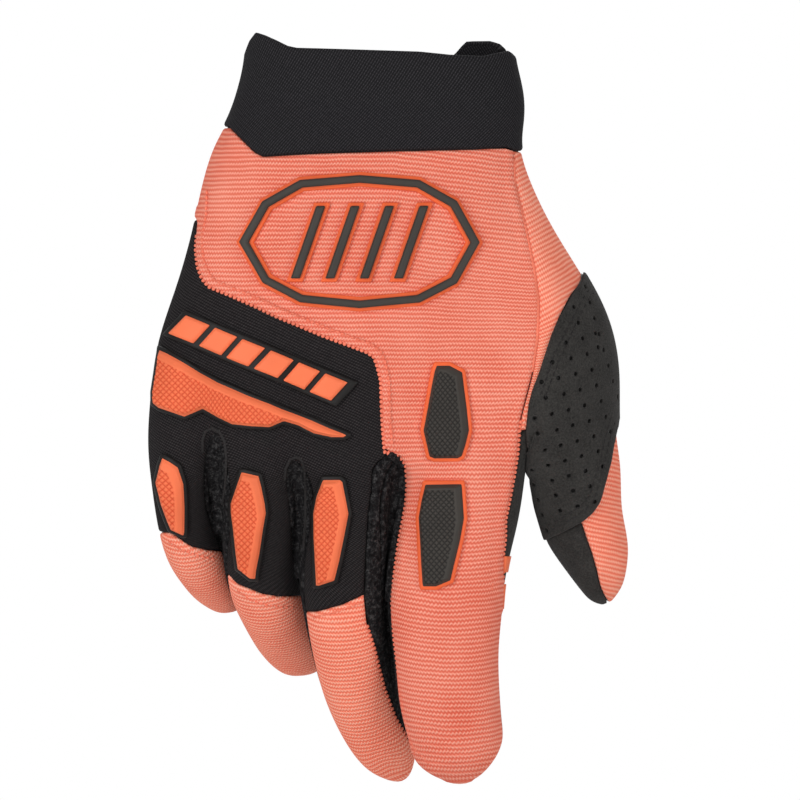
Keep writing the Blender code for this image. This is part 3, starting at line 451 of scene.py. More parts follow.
def limit_weights(faces, count):
    """The matrix that takes the points of a cage to their places on the limit surface."""
    edges, _, uses = neighbours(faces)
    matrix = np.zeros((count, count))
    valence = np.bincount(faces.ravel(), minlength=count)
    rim_points = np.unique(edges[uses == 1])
    on_rim = np.zeros(count, bool)
    on_rim[rim_points] = True
    for a, b in edges:
        matrix[a, b] += 4
        matrix[b, a] += 4
    for face in faces:
        for k in range(4):
            matrix[face[k], face[(k + 2) % 4]] += 1
    for k in range(count):
        matrix[k, k] += valence[k] ** 2
        matrix[k] /= valence[k] * (valence[k] + 5)
    matrix[on_rim] = 0
    for a, b in edges[uses == 1]:
        matrix[a, b] = matrix[b, a] = 1 / 6
    for k in rim_points:
        matrix[k, k] = 4 / 6
    return matrix


def to_limit(points, faces):
    """Moves a subdivided mesh's points onto the limit surface."""
    count = len(points)
    edges, _, uses = neighbours(faces)
    total = np.zeros_like(points)
    for a, b in ((0, 1), (1, 0)):
        np.add.at(total, edges[:, a], 4 * points[edges[:, b]])
    for k in range(4):
        np.add.at(total, faces[:, k], points[faces[:, (k + 2) % 4]])
    n = np.bincount(faces.ravel(), minlength=count)[:, None]
    moved = (total + n ** 2 * points) / (n * (n + 5))
    rim_total, on_rim = np.zeros_like(points), np.zeros(count, bool)
    rim = uses == 1
    for a, b in ((0, 1), (1, 0)):
        np.add.at(rim_total, edges[rim, a], points[edges[rim, b]])
        on_rim[edges[rim, a]] = True
    return np.where(on_rim[:, None], (4 * points + rim_total) / 6, moved)


def build_form(rounds):
    """The glove's outside as one mesh: points with channels, faces and each face's limb.

    The channels are those of the cage, then the normal, the highest limb that meets the point,
    a mark where limbs meet, a mark for points moved onto a cut, and the way round the glove.
    """
    points, faces, limbs = build_cage()
    weights = limit_weights(faces, len(points))
    points[:, :3] = np.linalg.solve(weights, points[:, :3])
    for _ in range(rounds):
        points, faces, limbs = subdivide(points, faces, limbs)
    points = to_limit(points, faces)
    corners = points[faces][:, :, :3]
    face_normals = np.cross(corners[:, 2] - corners[:, 0], corners[:, 3] - corners[:, 1])
    normals = np.zeros((len(points), 3))
    np.add.at(normals, faces.ravel(), np.repeat(face_normals, 4, axis=0))
    normals /= np.linalg.norm(normals, axis=1)[:, None]
    limb = np.zeros(len(points))
    np.maximum.at(limb, faces.ravel(), np.repeat(limbs, 4))
    lowest = np.full(len(points), 9.0)
    np.minimum.at(lowest, faces.ravel(), np.repeat(limbs, 4))
    root = (lowest < limb).astype(float)
    flags = np.stack([limb, root, np.zeros(len(points))], axis=1)
    return np.hstack([points[:, :6], normals, flags, points[:, 6:]]), faces, limbs


# Fields: each is above zero inside its panel, in millimetres or nearly so

def picture(points):
    """Where the points stand in the picture: u to the right, v down."""
    return points[:, 0] / UNIT + MID_U, TOP_V - points[:, 2] / UNIT


def within(points, outline):
    """Signed distance in millimetres to a closed outline in the picture, above zero inside."""
    u, v = picture(points)
    corners = np.array(outline, float)
    ends = np.roll(corners, -1, axis=0)
    best = np.full(len(points), 1e9)
    inside = np.zeros(len(points), bool)
    for (a, b), (c, d) in zip(corners, ends):
        length = (c - a) ** 2 + (d - b) ** 2
        part = np.clip(((u - a) * (c - a) + (v - b) * (d - b)) / length, 0, 1)
        best = np.minimum(best, np.hypot(u - a - part * (c - a), v - b - part * (d - b)))
        crosses = (b > v) != (d > v)
        if d != b:
            inside ^= crosses & (u < a + (v - b) * (c - a) / (d - b))
    return np.where(inside, best, -best) * UNIT


def above_line(points, table):
    """Above zero over a line across the picture."""
    u, v = picture(points)
    return (ease(table, u) - v) * UNIT


def side_limit(points):
    """The turn at which a finger's back panel ends, by the way along the finger."""
    return np.interp(points[:, 4], (0.0, 0.12, 0.45, 0.8, 1.0), (-0.66, -0.6, -0.3, -0.05, 0.0))


def panel_limit(points):
    """The turn at which the panels of the back end, anywhere on the glove."""
    limb, left, way = np.round(points[:, LIMB]), points[:, 6] < 0, points[:, 4]
    limit = side_limit(points)
    limit = np.where((limb == 0) & left, LEFT_TURN, limit)
    limit = np.where((limb == 0) & ~left, THUMB_TURN, limit)
    limit = np.where((limb == 1) & left, LEFT_TURN * (1 - way), limit)
    limit = np.where((limb == 4) & ~left & (picture(points)[0] > INDEX_U), 0.0, limit)
    return np.where(limb == 5, THUMB_TURN, limit)


def back_field(points):
    """Above zero on the back, up to the turn at which its panels end."""
    return (panel_limit(points) - points[:, 3]) * TURN_LENGTH


def web_limit(points):
    """The turn at which the strips between the fingers end, which narrow to a point."""
    wide = np.interp(points[:, 4], (0.0, 0.6, 0.86, 1.0), (WEB_TURN, 0.45, -0.04, -0.04))
    return np.maximum(wide, side_limit(points))


def web_field(points):
    """Above zero on the back and on the strips between the fingers."""
    return (web_limit(points) - points[:, 3]) * TURN_LENGTH


def palm_turn_field(points):
    """Above zero past the back's panels, and between the fingers past the strips."""
    limb, left = np.round(points[:, LIMB]), points[:, 6] < 0
    outer = ((limb == 1) & left) | ((limb == 4) & (picture(points)[0] > INDEX_U))
    finger = (limb >= 1) & (limb <= 4)
    return np.where(finger & ~outer, -web_field(points), -back_field(points))


def palm_rule(points):
    """Above zero on the palm and all that is made in one piece with it."""
    limb = np.round(points[:, LIMB])
    field = palm_turn_field(points)
    strip = (limb == 4) & (picture(points)[0] > INDEX_U)
    field = np.where(strip, np.maximum(field, -within(points, CORAL)), field)
    near_thumb = (limb == 0) | (limb == 5)
    return np.where(near_thumb, np.maximum(field, within(points, THUMB_PAD)), field)


def patch_turn_field(points):
    """Above zero up to the turn at which the thumb's patch ends."""
    u, v = picture(points)
    inner = (points[:, 6] < 0) | ((u < 540) & (v > 425))
    limit = np.where(inner, PATCH_INNER_TURN, PATCH_TURN)
    return (limit - points[:, 3]) * TURN_LENGTH


def thumb_side_field(points):
    """Above zero on the thumb's side of its seam, and on all of the thumb past its root."""
    inner = (np.round(points[:, LIMB]) == 5) & (points[:, ROOT] < 0.5)
    return np.where(inner, CLEAR, within(points, THUMB_SIDE))


def thumb_pad_field(points):
    """Above zero off the thumb's pad."""
    return -within(points, THUMB_PAD)


class Sheet:
    """An open piece of the form that can be clipped by fields."""

    def __init__(self, points, faces, limbs):
        self.points = np.array(points)
        self.faces = [tuple(face) for face in faces]
        self.limbs = list(limbs)

    def keep_limbs(self, wanted):
        """The faces of the given limbs."""
        kept = [(f, n) for f, n in zip(self.faces, self.limbs) if n in wanted]
        return Sheet(self.points, [f for f, _ in kept], [n for _, n in kept]).compact()

    def compact(self):
        """Drops the points that no face uses."""
        used = sorted({k for face in self.faces for k in face})
        new = {old: k for k, old in enumerate(used)}
        faces = [tuple(new[k] for k in face) for face in self.faces]
        return Sheet(self.points[used], faces, self.limbs)

    def centres(self):
        """A row of channels for the middle of each face, with the face's own limb."""
        rows = np.array([self.points[list(face)].mean(axis=0) for face in self.faces])
        rows[:, LIMB] = self.limbs
        rows[:, ROOT] = 0
        return rows

    def keep(self, rule, least):
        """Keeps the faces in whose middle the rule's value is above the given one."""
        marks = rule(self.centres()) > least
        kept = [k for k in range(len(self.faces)) if marks[k]]
        return Sheet(self.points, [self.faces[k] for k in kept],
                     [self.limbs[k] for k in kept]).compact()

    def clip(self, field, least=0.0, both=False):
        """Cuts along a field's given value and keeps the side above it, or both sides."""
        values = field(self.points) - least
        values = np.where(np.abs(values) < 1e-4, 0.0, values)
        points = [row for row in self.points]
        values = list(values)
        near = {}
        for face in self.faces:
            for k, a in enumerate(face):
                b = face[(k + 1) % len(face)]
                if values[a] * values[b] < 0:
                    part = values[a] / (values[a] - values[b])
                    if part < 0.2 and not points[a][FIXED]:
                        near.setdefault(a, (part, b))
                    elif part > 0.8 and not points[b][FIXED]:
                        near.setdefault(b, (1 - part, a))
        moves = {k: points[k] + part * (points[other] - points[k])
                 for k, (part, other) in near.items()}
        for k, place_now in moves.items():
            points[k] = place_now
            points[k][FIXED] = 1
            values[k] = 0.0
        cuts = {}

        def cut(a, b):
            key = (min(a, b), max(a, b))
            if key not in cuts:
                part = values[a] / (values[a] - values[b])
                points.append(points[a] + part * (points[b] - points[a]))
                points[-1][FIXED] = 1
                values.append(0.0)
                cuts[key] = len(points) - 1
            return cuts[key]

        faces, limbs = [], []
        for face, limb in zip(self.faces, self.limbs):
            for side in (1, -1) if both else (1,):
                if all(values[k] * side <= 0 for k in face):
                    continue
                kept = []
                for k, a in enumerate(face):
                    b = face[(k + 1) % len(face)]
                    if values[a] * side >= 0:
                        kept.append(a)
                    if values[a] * values[b] < 0:
                        kept.append(cut(a, b))
                if len(kept) >= 3:
                    faces.append(tuple(kept))
                    limbs.append(limb)
        return Sheet(np.array(points), faces, limbs).compact()

    def pieces(self):
        """The connected pieces, the one with the most faces first."""
        root = list(range(len(self.faces)))

        def find(k):
            while root[k] != k:
                root[k] = root[root[k]]
                k = root[k]
            return k

        seen = {}
        for number, face in enumerate(self.faces):
            for k, a in enumerate(face):
                b = face[(k + 1) % len(face)]
                other = seen.setdefault((min(a, b), max(a, b)), number)
                root[find(number)] = find(other)
        groups = {}
        for number, (face, limb) in enumerate(zip(self.faces, self.limbs)):
            groups.setdefault(find(number), []).append((face, limb))
        found = sorted(groups.values(), key=len, reverse=True)
        return [Sheet(self.points, [f for f, _ in group], [n for _, n in group]).compact()
                for group in found]


def smooth(value):
    """0 up to 0 and 1 from 1 on, with a soft step between."""
    value = np.clip(value, 0, 1)
    return value * value * (3 - 2 * value)


# Materials

# The coral knit's colours in its grooves, where the darkness is painted shade, on its ribs, and at
# its lightest, a painted highlight on the ribs' tops, as the renderer's own
CORAL_TONES = ((0.64, 0.105, 0.062), (0.76, 0.205, 0.135), (0.87, 0.36, 0.27))
# A lighter copy of the coral knit's colours, whose extra lightness is painted light on the fingertips
# and the thumb
PAINTED_LIGHT_CORAL_TONES = ((0.75, 0.135, 0.078), (0.90, 0.26, 0.165), (0.97, 0.45, 0.33))
RUBBER_SHINE = 0.2
# Distances in millimetres between the ribs, rows, lines and loops of the cloths
RIB_PITCH, LOOP_PITCH = 1.33, 0.9
KNIT_ROW, KNIT_LOOP = 0.8, 0.7
TWILL_LINE, TWILL_CROSS = 0.74, 0.9


def linear(red, green, blue):
    """A picture colour, 0 to 255, as the renderer's own."""
    return tuple(((c / 255 + 0.055) / 1.055) ** 2.4 if c > 10 else c / 3294.6
                 for c in (red, green, blue))


class Nodes:
    """A material's nodes, made one call at a time."""

    def __init__(self, name):
        self.material = bpy.data.materials.new(name)
        self.material.use_nodes = True
        self.tree = self.material.node_tree
        self.shader = self.tree.nodes["Principled BSDF"]

    def link(self, source, socket):
        """Joins a socket to another's output, or sets it to a value."""
        if isinstance(source, (int, float, tuple)):
            socket.default_value = source
        else:
            self.tree.links.new(source, socket)

    def sum(self, operation, *values):
        node = self.tree.nodes.new("ShaderNodeMath")
        node.operation = operation
        for value, socket in zip(values, node.inputs):
            self.link(value, socket)
        return node.outputs[0]

    def add(self, a, b):
        return self.sum("ADD", a, b)

    def times(self, a, b):
        return self.sum("MULTIPLY", a, b)

    def wave(self, value, period):
        """0 to 1, once each period."""
        turns = self.sum("MULTIPLY", value, 2 * math.pi / period)
        return self.sum("MULTIPLY_ADD", self.sum("SINE", turns), 0.5, 0.5)

    def attribute(self, name):
        node = self.tree.nodes.new("ShaderNodeAttribute")
        node.attribute_name = name
        return node.outputs

    def cloth(self):
        """The ways round and along the cloth, in millimetres."""
        split = self.tree.nodes.new("ShaderNodeSeparateXYZ")
        self.tree.links.new(self.attribute("cloth")["Vector"], split.inputs[0])
        return split.outputs[0], split.outputs[1]

    def noise(self, size, detail=2.0, roughness=0.5):
        """Noise with features of about a size in millimetres."""
        place_node = self.tree.nodes.new("ShaderNodeTexCoord")
        node = self.tree.nodes.new("ShaderNodeTexNoise")
        node.inputs["Scale"].default_value = 1000 / size
        node.inputs["Detail"].default_value = detail
        node.inputs["Roughness"].default_value = roughness
        self.tree.links.new(place_node.outputs["Object"], node.inputs["Vector"])
        return node.outputs["Fac"]

    def ramp(self, value, stops):
        """A colour by a value, from stops of a place and a colour."""
        node = self.tree.nodes.new("ShaderNodeValToRGB")
        ramp = node.color_ramp
        while len(ramp.elements) < len(stops):
            ramp.elements.new(0.5)
        for element, (at, colour) in zip(ramp.elements, stops):
            element.position = at
            element.color = (*colour, 1)
        self.link(value, node.inputs[0])
        return node.outputs[0]

    def bump(self, height, depth):
        """Lets the surface rise by the height, which is 0 to 1, times a depth in millimetres."""
        node = self.tree.nodes.new("ShaderNodeBump")
        node.inputs["Distance"].default_value = depth / 1000
        self.tree.links.new(height, node.inputs["Height"])
        self.tree.links.new(node.outputs[0], self.shader.inputs["Normal"])

    def darken(self, colour, mark, dark):
        """A colour that turns into a dark one where a mark is 1."""
        mix = self.tree.nodes.new("ShaderNodeMix")
        mix.data_type = "RGBA"
        self.link(mark, mix.inputs[0])
        self.link(colour, mix.inputs[6])
        mix.inputs[7].default_value = (*dark, 1)
        return mix.outputs[2]

    def finish(self, colour, roughness, specular, sheen=0.0):
        """Sets the shader's inputs and gives the material."""
        self.link(colour, self.shader.inputs["Base Color"])
        self.shader.inputs["Roughness"].default_value = roughness
        self.shader.inputs["Specular IOR Level"].default_value = specular
        self.shader.inputs["Sheen Weight"].default_value = sheen
        return self.material


def ribbed_knit(name, dark, middle, light):
    """Ribs across the hand, each a rope of slanted loops, with the ribs a little uneven."""
    n = Nodes(name)
    across, along = n.cloth()
    along = n.add(along, n.times(n.noise(9.0), 0.9))
    across = n.add(across, n.times(n.noise(4.0), 0.6))
    sway = n.add(n.wave(across, LOOP_PITCH), -0.5)
    rib = n.wave(n.add(along, n.times(sway, 0.34)), RIB_PITCH)
    slant = n.add(across, n.times(along, LOOP_PITCH / RIB_PITCH * 0.5))
    loop = n.wave(slant, LOOP_PITCH)
    height = n.add(n.times(rib, 0.6), n.times(n.times(rib, loop), 0.4))
    height = n.add(height, n.times(n.noise(0.45, 3.0), 0.22))
    # The colour follows the ribs' height: darker in the grooves as painted shade, lighter on the
    # ribs' tops as painted highlight, with wide patches of random tone
    tone = n.add(height, n.times(n.add(n.noise(14.0), -0.5), 0.5))
    n.bump(height, 0.2)
    return n.finish(n.ramp(tone, ((0.0, dark), (0.5, middle), (1.0, light))), 0.95, 0.08)


def stretch_knit(name):
    """Fine black knit whose rows slope like the seam above the knuckles."""
    n = Nodes(name)
    across, along = n.cloth()
    row = n.add(along, n.times(across, -0.42))
    rows = n.wave(n.add(row, n.times(n.noise(6.0), 0.5)), KNIT_ROW)
    loops = n.wave(n.add(across, n.times(row, 0.5)), KNIT_LOOP)
    height = n.add(n.times(rows, 0.6), n.times(loops, 0.4))
    height = n.add(height, n.times(n.add(n.noise(0.8, 3.0), -0.5), 0.6))
    n.bump(height, 0.2)
    # The colour follows the knit's height: darker between the rows and loops as painted shade,
    # lighter on their tops as painted highlight
    return n.finish(n.ramp(height, ((0.1, linear(20, 18, 19)), (0.6, linear(33, 30, 31)),
                                    (0.95, linear(54, 51, 51)))), 0.9, 0.12)


def twill(name):
    """Neoprene faced with a fine twill, whose lines climb to the right."""
    n = Nodes(name)
    across, along = n.cloth()
    line = n.add(n.times(across, 0.86), n.times(along, 0.5))
    lines = n.wave(n.add(line, n.times(n.noise(5.0), 0.3)), TWILL_LINE)
    cross = n.wave(n.add(n.times(across, -0.5), n.times(along, 0.86)), TWILL_CROSS)
    height = n.times(lines, n.add(0.6, n.times(cross, 0.4)))
    height = n.add(height, n.times(n.add(n.noise(0.7, 3.0), -0.5), 0.6))
    n.bump(height, 0.17)
    # The colour follows the twill's height: darker between its lines as painted shade, lighter on
    # their tops as painted highlight
    return n.finish(n.ramp(height, ((0.0, linear(22, 21, 23)), (0.5, linear(32, 31, 33)),
                                    (0.95, linear(56, 54, 57)))), 0.9, 0.12)


def suede(name, dark, light):
    """Napped suede, with fine grain over wide cloudy patches."""
    n = Nodes(name)
    fine = n.noise(0.55, 4.0, 0.7)
    wide = n.noise(7.0, 2.0)
    tone = n.add(n.times(fine, 0.75), n.times(wide, 0.25))
    n.bump(fine, 0.22)
    return n.finish(n.ramp(tone, ((0.32, dark), (0.68, light))), 0.95, 0.1, 0.05)


def fleece(name):
    """Fuzzy mesh between the fingers."""
    n = Nodes(name)
    tufts = n.noise(1.3, 3.0, 0.7)
    fine = n.noise(0.5, 3.0, 0.7)
    height = n.add(n.times(tufts, 0.65), n.times(fine, 0.35))
    n.bump(height, 1.1)
    # The colour follows the tufts' height: dark in the hollows between them as painted shade, light
    # on their tops as painted highlight
    return n.finish(n.ramp(height, ((0.4, linear(17, 16, 17)), (0.52, linear(36, 35, 36)),
                                    (0.62, linear(68, 67, 67)))), 0.95, 0.05)


def moulded(name, colour, roughness, variation=0.06, groove_shade=None):
    """Moulded rubber, with a little cloudiness, and painted shade that darkens the grooves between
    the diamonds.
    """
    n = Nodes(name)
    cloud = n.noise(11.0, 3.0)
    low = tuple(c * (1 - variation) for c in colour)
    high = tuple(min(1, c * (1 + variation)) for c in colour)
    n.bump(n.noise(0.35, 2.0), 0.02)
    tone = n.ramp(cloud, ((0.35, low), (0.65, high)))
    if groove_shade is not None:
        # Painted shade: the rubber turns to the groove colour where the groove mark is 1
        tone = n.darken(tone, n.attribute("groove_shade")["Fac"], groove_shade)
    return n.finish(tone, roughness, RUBBER_SHINE)


def build_materials():
    """The materials by their short names. Colours of three numbers to 255 are a picture's."""
    return {
        "coral": ribbed_knit("coral_knit", *CORAL_TONES),
        # A lighter copy of the coral knit for the fingertips and the thumb, its extra lightness
        # painted light
        "painted_light_coral": ribbed_knit("painted_light_coral_knit", *PAINTED_LIGHT_CORAL_TONES),
        "knit": stretch_knit("black_knit"),
        "twill": twill("neoprene"),
        "suede": suede("black_suede", linear(30, 29, 28), linear(62, 60, 58)),
        "fleece": fleece("fuzzy_mesh"),
        # The last colour of each knurled rubber is the painted shade of its grooves
        "orange": moulded("orange_rubber", linear(232, 114, 74), 0.55, 0.05,
                          linear(196, 66, 34)),
        "rim_orange": moulded("orange_border", linear(226, 96, 52), 0.55),
        "border": moulded("black_rubber", linear(24, 22, 21), 0.5),
        "black": moulded("grey_black_rubber", linear(58, 54, 50), 0.55, 0.08,
                         linear(18, 16, 15)),
        "coral_thread": moulded("coral_thread", linear(228, 122, 97), 0.85, 0.12),
        "black_thread": moulded("black_thread", linear(40, 38, 38), 0.85, 0.2),
    }


# Pieces

def add_mesh(name, mesh):
    """An object from a mesh under work, which is freed."""
    data = bpy.data.meshes.new(name)
    mesh.to_mesh(data)
    mesh.free()
    piece = bpy.data.objects.new(name, data)
    bpy.context.scene.collection.objects.link(piece)
    return piece


def add_piece(name, at, faces, look, nodes, cloth=None, groove_shade=None):
    """A smooth mesh from places in millimetres, which rides on the root."""
    data = bpy.data.meshes.new(name)
    data.from_pydata([tuple(p / 1000) for p in at], [], [tuple(int(k) for k in f) for f in faces])
    data.polygons.foreach_set("use_smooth", [True] * len(data.polygons))
    if cloth is not None:
        layer = data.attributes.new("cloth", "FLOAT_VECTOR", "POINT")
        layer.data.foreach_set("vector", np.asarray(cloth, float).ravel())
    # Each point's share of the painted shade in the knurled grooves, read by the rubber's material
    if groove_shade is not None:
        layer = data.attributes.new("groove_shade", "FLOAT", "POINT")
        layer.data.foreach_set("value", np.asarray(groove_shade, float))
    data.materials.append(look)
    piece = bpy.data.objects.new(name, data)
    bpy.context.scene.collection.objects.link(piece)
    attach(piece, "root")
    if nodes:
        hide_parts(*nodes)
    return piece


def add_wall(piece, wall):
    """Gives a sheet a wall in millimetres, inward from its outer face."""
    change = piece.modifiers.new("wall", "SOLIDIFY")
    change.thickness = wall / 1000
    change.offset = -1
    return piece


def grid_quads(rows, columns):
    """The four-sided faces of a grid of points that is numbered row by row."""
    return [(a, a + columns, a + columns + 1, a + 1)
            for r in range(rows - 1) for a in range(r * columns, (r + 1) * columns - 1)]


def rim_edges(faces):
    """Each edge that has one face, in the direction in which that face runs."""
    edges = {}
    for face in faces:
        for k, a in enumerate(face):
            edges[(a, face[(k + 1) % len(face)])] = True
    return [(a, b) for a, b in edges if (b, a) not in edges]


def rim_distance(at, faces):
    """How far each point is from the open rim, in millimetres."""
    edges = rim_edges(faces)
    tree = KDTree(len(edges) * 3)
    for a, b in edges:
        for part in (0, 0.33, 0.67):
            tree.insert(Vector(at[a] + part * (at[b] - at[a])), 0)
    tree.balance()
    return np.array([tree.find(Vector(p))[2] for p in at])


# Steps of the rubber's grids, for borders, raised pieces and knurled pads
BORDER_STEP, RAISED_STEP, PAD_STEP = 0.4, 0.3, 0.2
# The height of the rubber's foot over the cloth's face, on cloth and on a border
CLOTH_FOOT, BORDER_FOOT = -0.4, 0.3
# Distances from a cut at which a sheet gets rows of points
RIM_ROWS = (0.35, 0.9)
HEM_ROWS = (0.35, 0.9, 2.3, 2.8)
# How far from a seam the cloth starts to roll in, and how deep it goes
ROLL = 1.2
ROLL_SINK = 0.75
LINING_WALL, LINING_DEPTH = 0.3, 0.85
PATCH_PROUD = LAYER_GAP + 0.1 + PATCH_WALL
PATCH_SINK = 0.45
PATCH_LINING_WALL, PATCH_LINING_SINK = 0.2, 0.2
PATCH_LINING_PROUD = 0.42


def trim(sheet, field, gap=SEAM_GAP, rows=RIM_ROWS):
    """Cuts a sheet along a field's edge, and draws rows of points beside the cut."""
    sheet = sheet.clip(field, gap)
    for depth in rows:
        sheet = sheet.clip(field, gap + depth, both=True)
    return sheet


def back_way(points):
    """The way across the ribs of the back of the hand, which dip to the right at the wrist."""
    # Past u 395 the ribs dip near the wrist, and on the index finger they bow to its sides
    u, v = picture(points)
    lean = 0.24 * np.clip((u - 395) / 60, 0, 2.2) * smooth((350 - v) / 90) * 30
    on_index = smooth((v - 470) / 120) * ((u - 452) / 45) ** 2 * 5.0
    return (v - lean + on_index) * UNIT


def thumb_way(points):
    """The way across the thumb's ribs, which turn with the thumb."""
    # The ribs climb steeply at the wrist, and are nearly level past v 410
    u, v = picture(points)
    upper = 0.5 * (u - 520) + 0.87 * v
    lower = v - 0.22 * (u - 600)
    return (upper + (lower - upper) * smooth((v - 320) / 90)) * UNIT


def finger_way(points):
    """The way along a finger, which follows its curl."""
    return points[:, 5]


def panel(name, sheet, look, nodes, wall, proud=0.0, sink=ROLL_SINK, hem=None, way=back_way):
    """A cloth panel: its outer face rolls in at the seams, and it has a wall."""
    sheet = sheet.pieces()[0]
    points = sheet.points
    normal = points[:, 6:9] / np.linalg.norm(points[:, 6:9], axis=1)[:, None]
    edge = rim_distance(points[:, :3], sheet.faces)
    inward = np.clip(ROLL - edge, 0, ROLL)
    drop = (1 - np.sqrt(np.clip(1 - (inward / ROLL) ** 2, 0, 1))) * sink
    rise = proud - drop
    if hem is not None:
        rise = rise + hem(points)
    at = points[:, :3] + normal * rise[:, None]
    cloth = np.stack([points[:, AROUND], way(points), edge], axis=1)
    piece = add_piece(name, at, sheet.faces, look, nodes, cloth)
    return add_wall(piece, wall)


class Cover:
    """The glove's smooth outside, found from the front or from another side."""

    def __init__(self, points, faces):
        self.at = points[:, :3]
        self.normals = points[:, 6:9]
        self.triangles = np.concatenate([faces[:, [0, 1, 2]], faces[:, [0, 2, 3]]])
        self.tree = BVHTree.FromPolygons(
            [Vector(p) for p in self.at], [tuple(int(k) for k in t) for t in self.triangles])

    def under(self, places, way=(0, 1, 0), reach=80.0):
        """Feet and normals on the rounded surface for rows of places in millimetres."""
        feet, numbers = [], []
        direction = Vector(way)
        for x, y, z in places:
            start = Vector((x, y, z)) - direction * reach
            hit, _, number, _ = self.tree.ray_cast(start, direction)
            if hit is None:
                hit, _, number, _ = self.tree.find_nearest(Vector((x, y - 12, z)))
            feet.append(hit)
            numbers.append(number)
        feet = np.array(feet)
        corners = self.triangles[numbers]
        a, b, c = (self.at[corners[:, k]] for k in range(3))
        area = np.cross(b - a, c - a)
        whole = (area * area).sum(axis=1)
        weight_b = (np.cross(feet - a, c - a) * area).sum(axis=1) / whole
        weight_c = (np.cross(b - a, feet - a) * area).sum(axis=1) / whole
        weights = np.clip(np.stack([1 - weight_b - weight_c, weight_b, weight_c], axis=1), 0, 1)
        normal = np.zeros_like(feet)
        round_feet = np.zeros_like(feet)
        for k in range(3):
            own = self.normals[corners[:, k]]
            own = own / np.linalg.norm(own, axis=1)[:, None]
            off = ((feet - self.at[corners[:, k]]) * own).sum(axis=1)
            round_feet += weights[:, k:k + 1] * (feet - off[:, None] * own)
            normal += weights[:, k:k + 1] * own
        normal /= np.linalg.norm(normal, axis=1)[:, None]
        return 0.3 * feet + 0.7 * round_feet, normal


def flat_rows(places):
    """Rows of channels for places in the picture."""
    rows = np.zeros((len(places), AROUND + 1))
    rows[:, 0] = (places[:, 0] - MID_U) * UNIT
    rows[:, 2] = (TOP_V - places[:, 1]) * UNIT
    return rows


def relief(name, cover, field, box, step, height, low, look, nodes=(), groove_shade=None):
    """A raised piece on the cloth: its outline is a field, and its top a height, both in
    millimetres, over a fine grid of picture places."""
    (u_low, v_low), (u_high, v_high) = box
    us = np.arange(u_low, u_high + step / UNIT, step / UNIT)
    vs = np.arange(v_low, v_high + step / UNIT, step / UNIT)
    grid_u, grid_v = np.meshgrid(us, vs)
    rows = flat_rows(np.stack([grid_u.ravel(), grid_v.ravel()], axis=1))
    inside = field(rows) > -2 * step
    faces = [quad for quad in grid_quads(len(vs), len(us)) if inside[quad[0]] or inside[quad[2]]]
    sheet = Sheet(rows, faces, [0] * len(faces)).compact().clip(field)
    feet, normal = cover.under(sheet.points[:, :3])
    rise = height(sheet.points)
    at = feet + normal * rise[:, None]
    faces = list(sheet.faces)
    edges = rim_edges(faces)
    foot_of = {}
    extra = []
    for a, b in edges:
        for k in (a, b):
            if k not in foot_of:
                foot_of[k] = len(at) + len(extra)
                extra.append(feet[k] + normal[k] * low)
    faces += [(b, a, foot_of[a], foot_of[b]) for a, b in edges]
    # How much painted shade darkens each point of the top, most in the knurled grooves; the feet get
    # none
    marks = np.zeros(len(at) + len(extra))
    if groove_shade is not None:
        marks[:len(at)] = groove_shade(sheet.points)
    at = np.vstack([at, np.array(extra)])
    return add_piece(name, at, faces, look, nodes, groove_shade=marks)


def outline_box(outline, margin=2):
    """The outline's lowest and highest corner, with a margin round it."""
    at = np.array(outline)
    return tuple(at.min(axis=0) - margin), tuple(at.max(axis=0) + margin)


def rows_outline(rows, upright=True):
    """A closed outline from rows of v, left u and right u, or of u, upper v and lower v."""
    if upright:
        return [(left, v) for v, left, _ in rows] + [(right, v) for v, _, right in rows[::-1]]
    return [(u, low) for u, _, low in rows] + [(u, high) for u, high, _ in rows[::-1]]


def grown(outline, by):
    """A field that is above zero inside an outline grown by a number of millimetres."""
    return lambda points: within(points, outline) + by


KNURL_WIDE, KNURL_TALL = 5.0, 5.9
KNURL_GROOVE = 0.2
KNURL_DEPTH = 0.4
# How much lower the knurled field lies than the pad's smooth edge, and the step between
FIELD_DROP, FIELD_STEP = 0.12, 0.2
# How far a border's edge drops, and over what width
RIM_DROP, RIM_ROUND = 0.35, 0.45
# The part of a pad's height at its outer edge, and a bar's
PAD_SKIRT, BAR_SKIRT = 0.35, 0.55
RIM_TOP = RUBBER_GAP + RIM_HEIGHT
PAD_TOP = RIM_TOP + LAYER_GAP + PAD_HEIGHT - 0.3
BEVEL = 0.55
BEVEL_SHIFT = 1.6


def knurl(points):
    """0 to 1 in the grooves of the diamond pattern."""
    u, v = picture(points)
    a, b = u / KNURL_WIDE + v / KNURL_TALL, u / KNURL_WIDE - v / KNURL_TALL
    near = np.minimum(np.abs(a - np.round(a)), np.abs(b - np.round(b)))
    return np.clip(1 - near / KNURL_GROOVE, 0, 1)


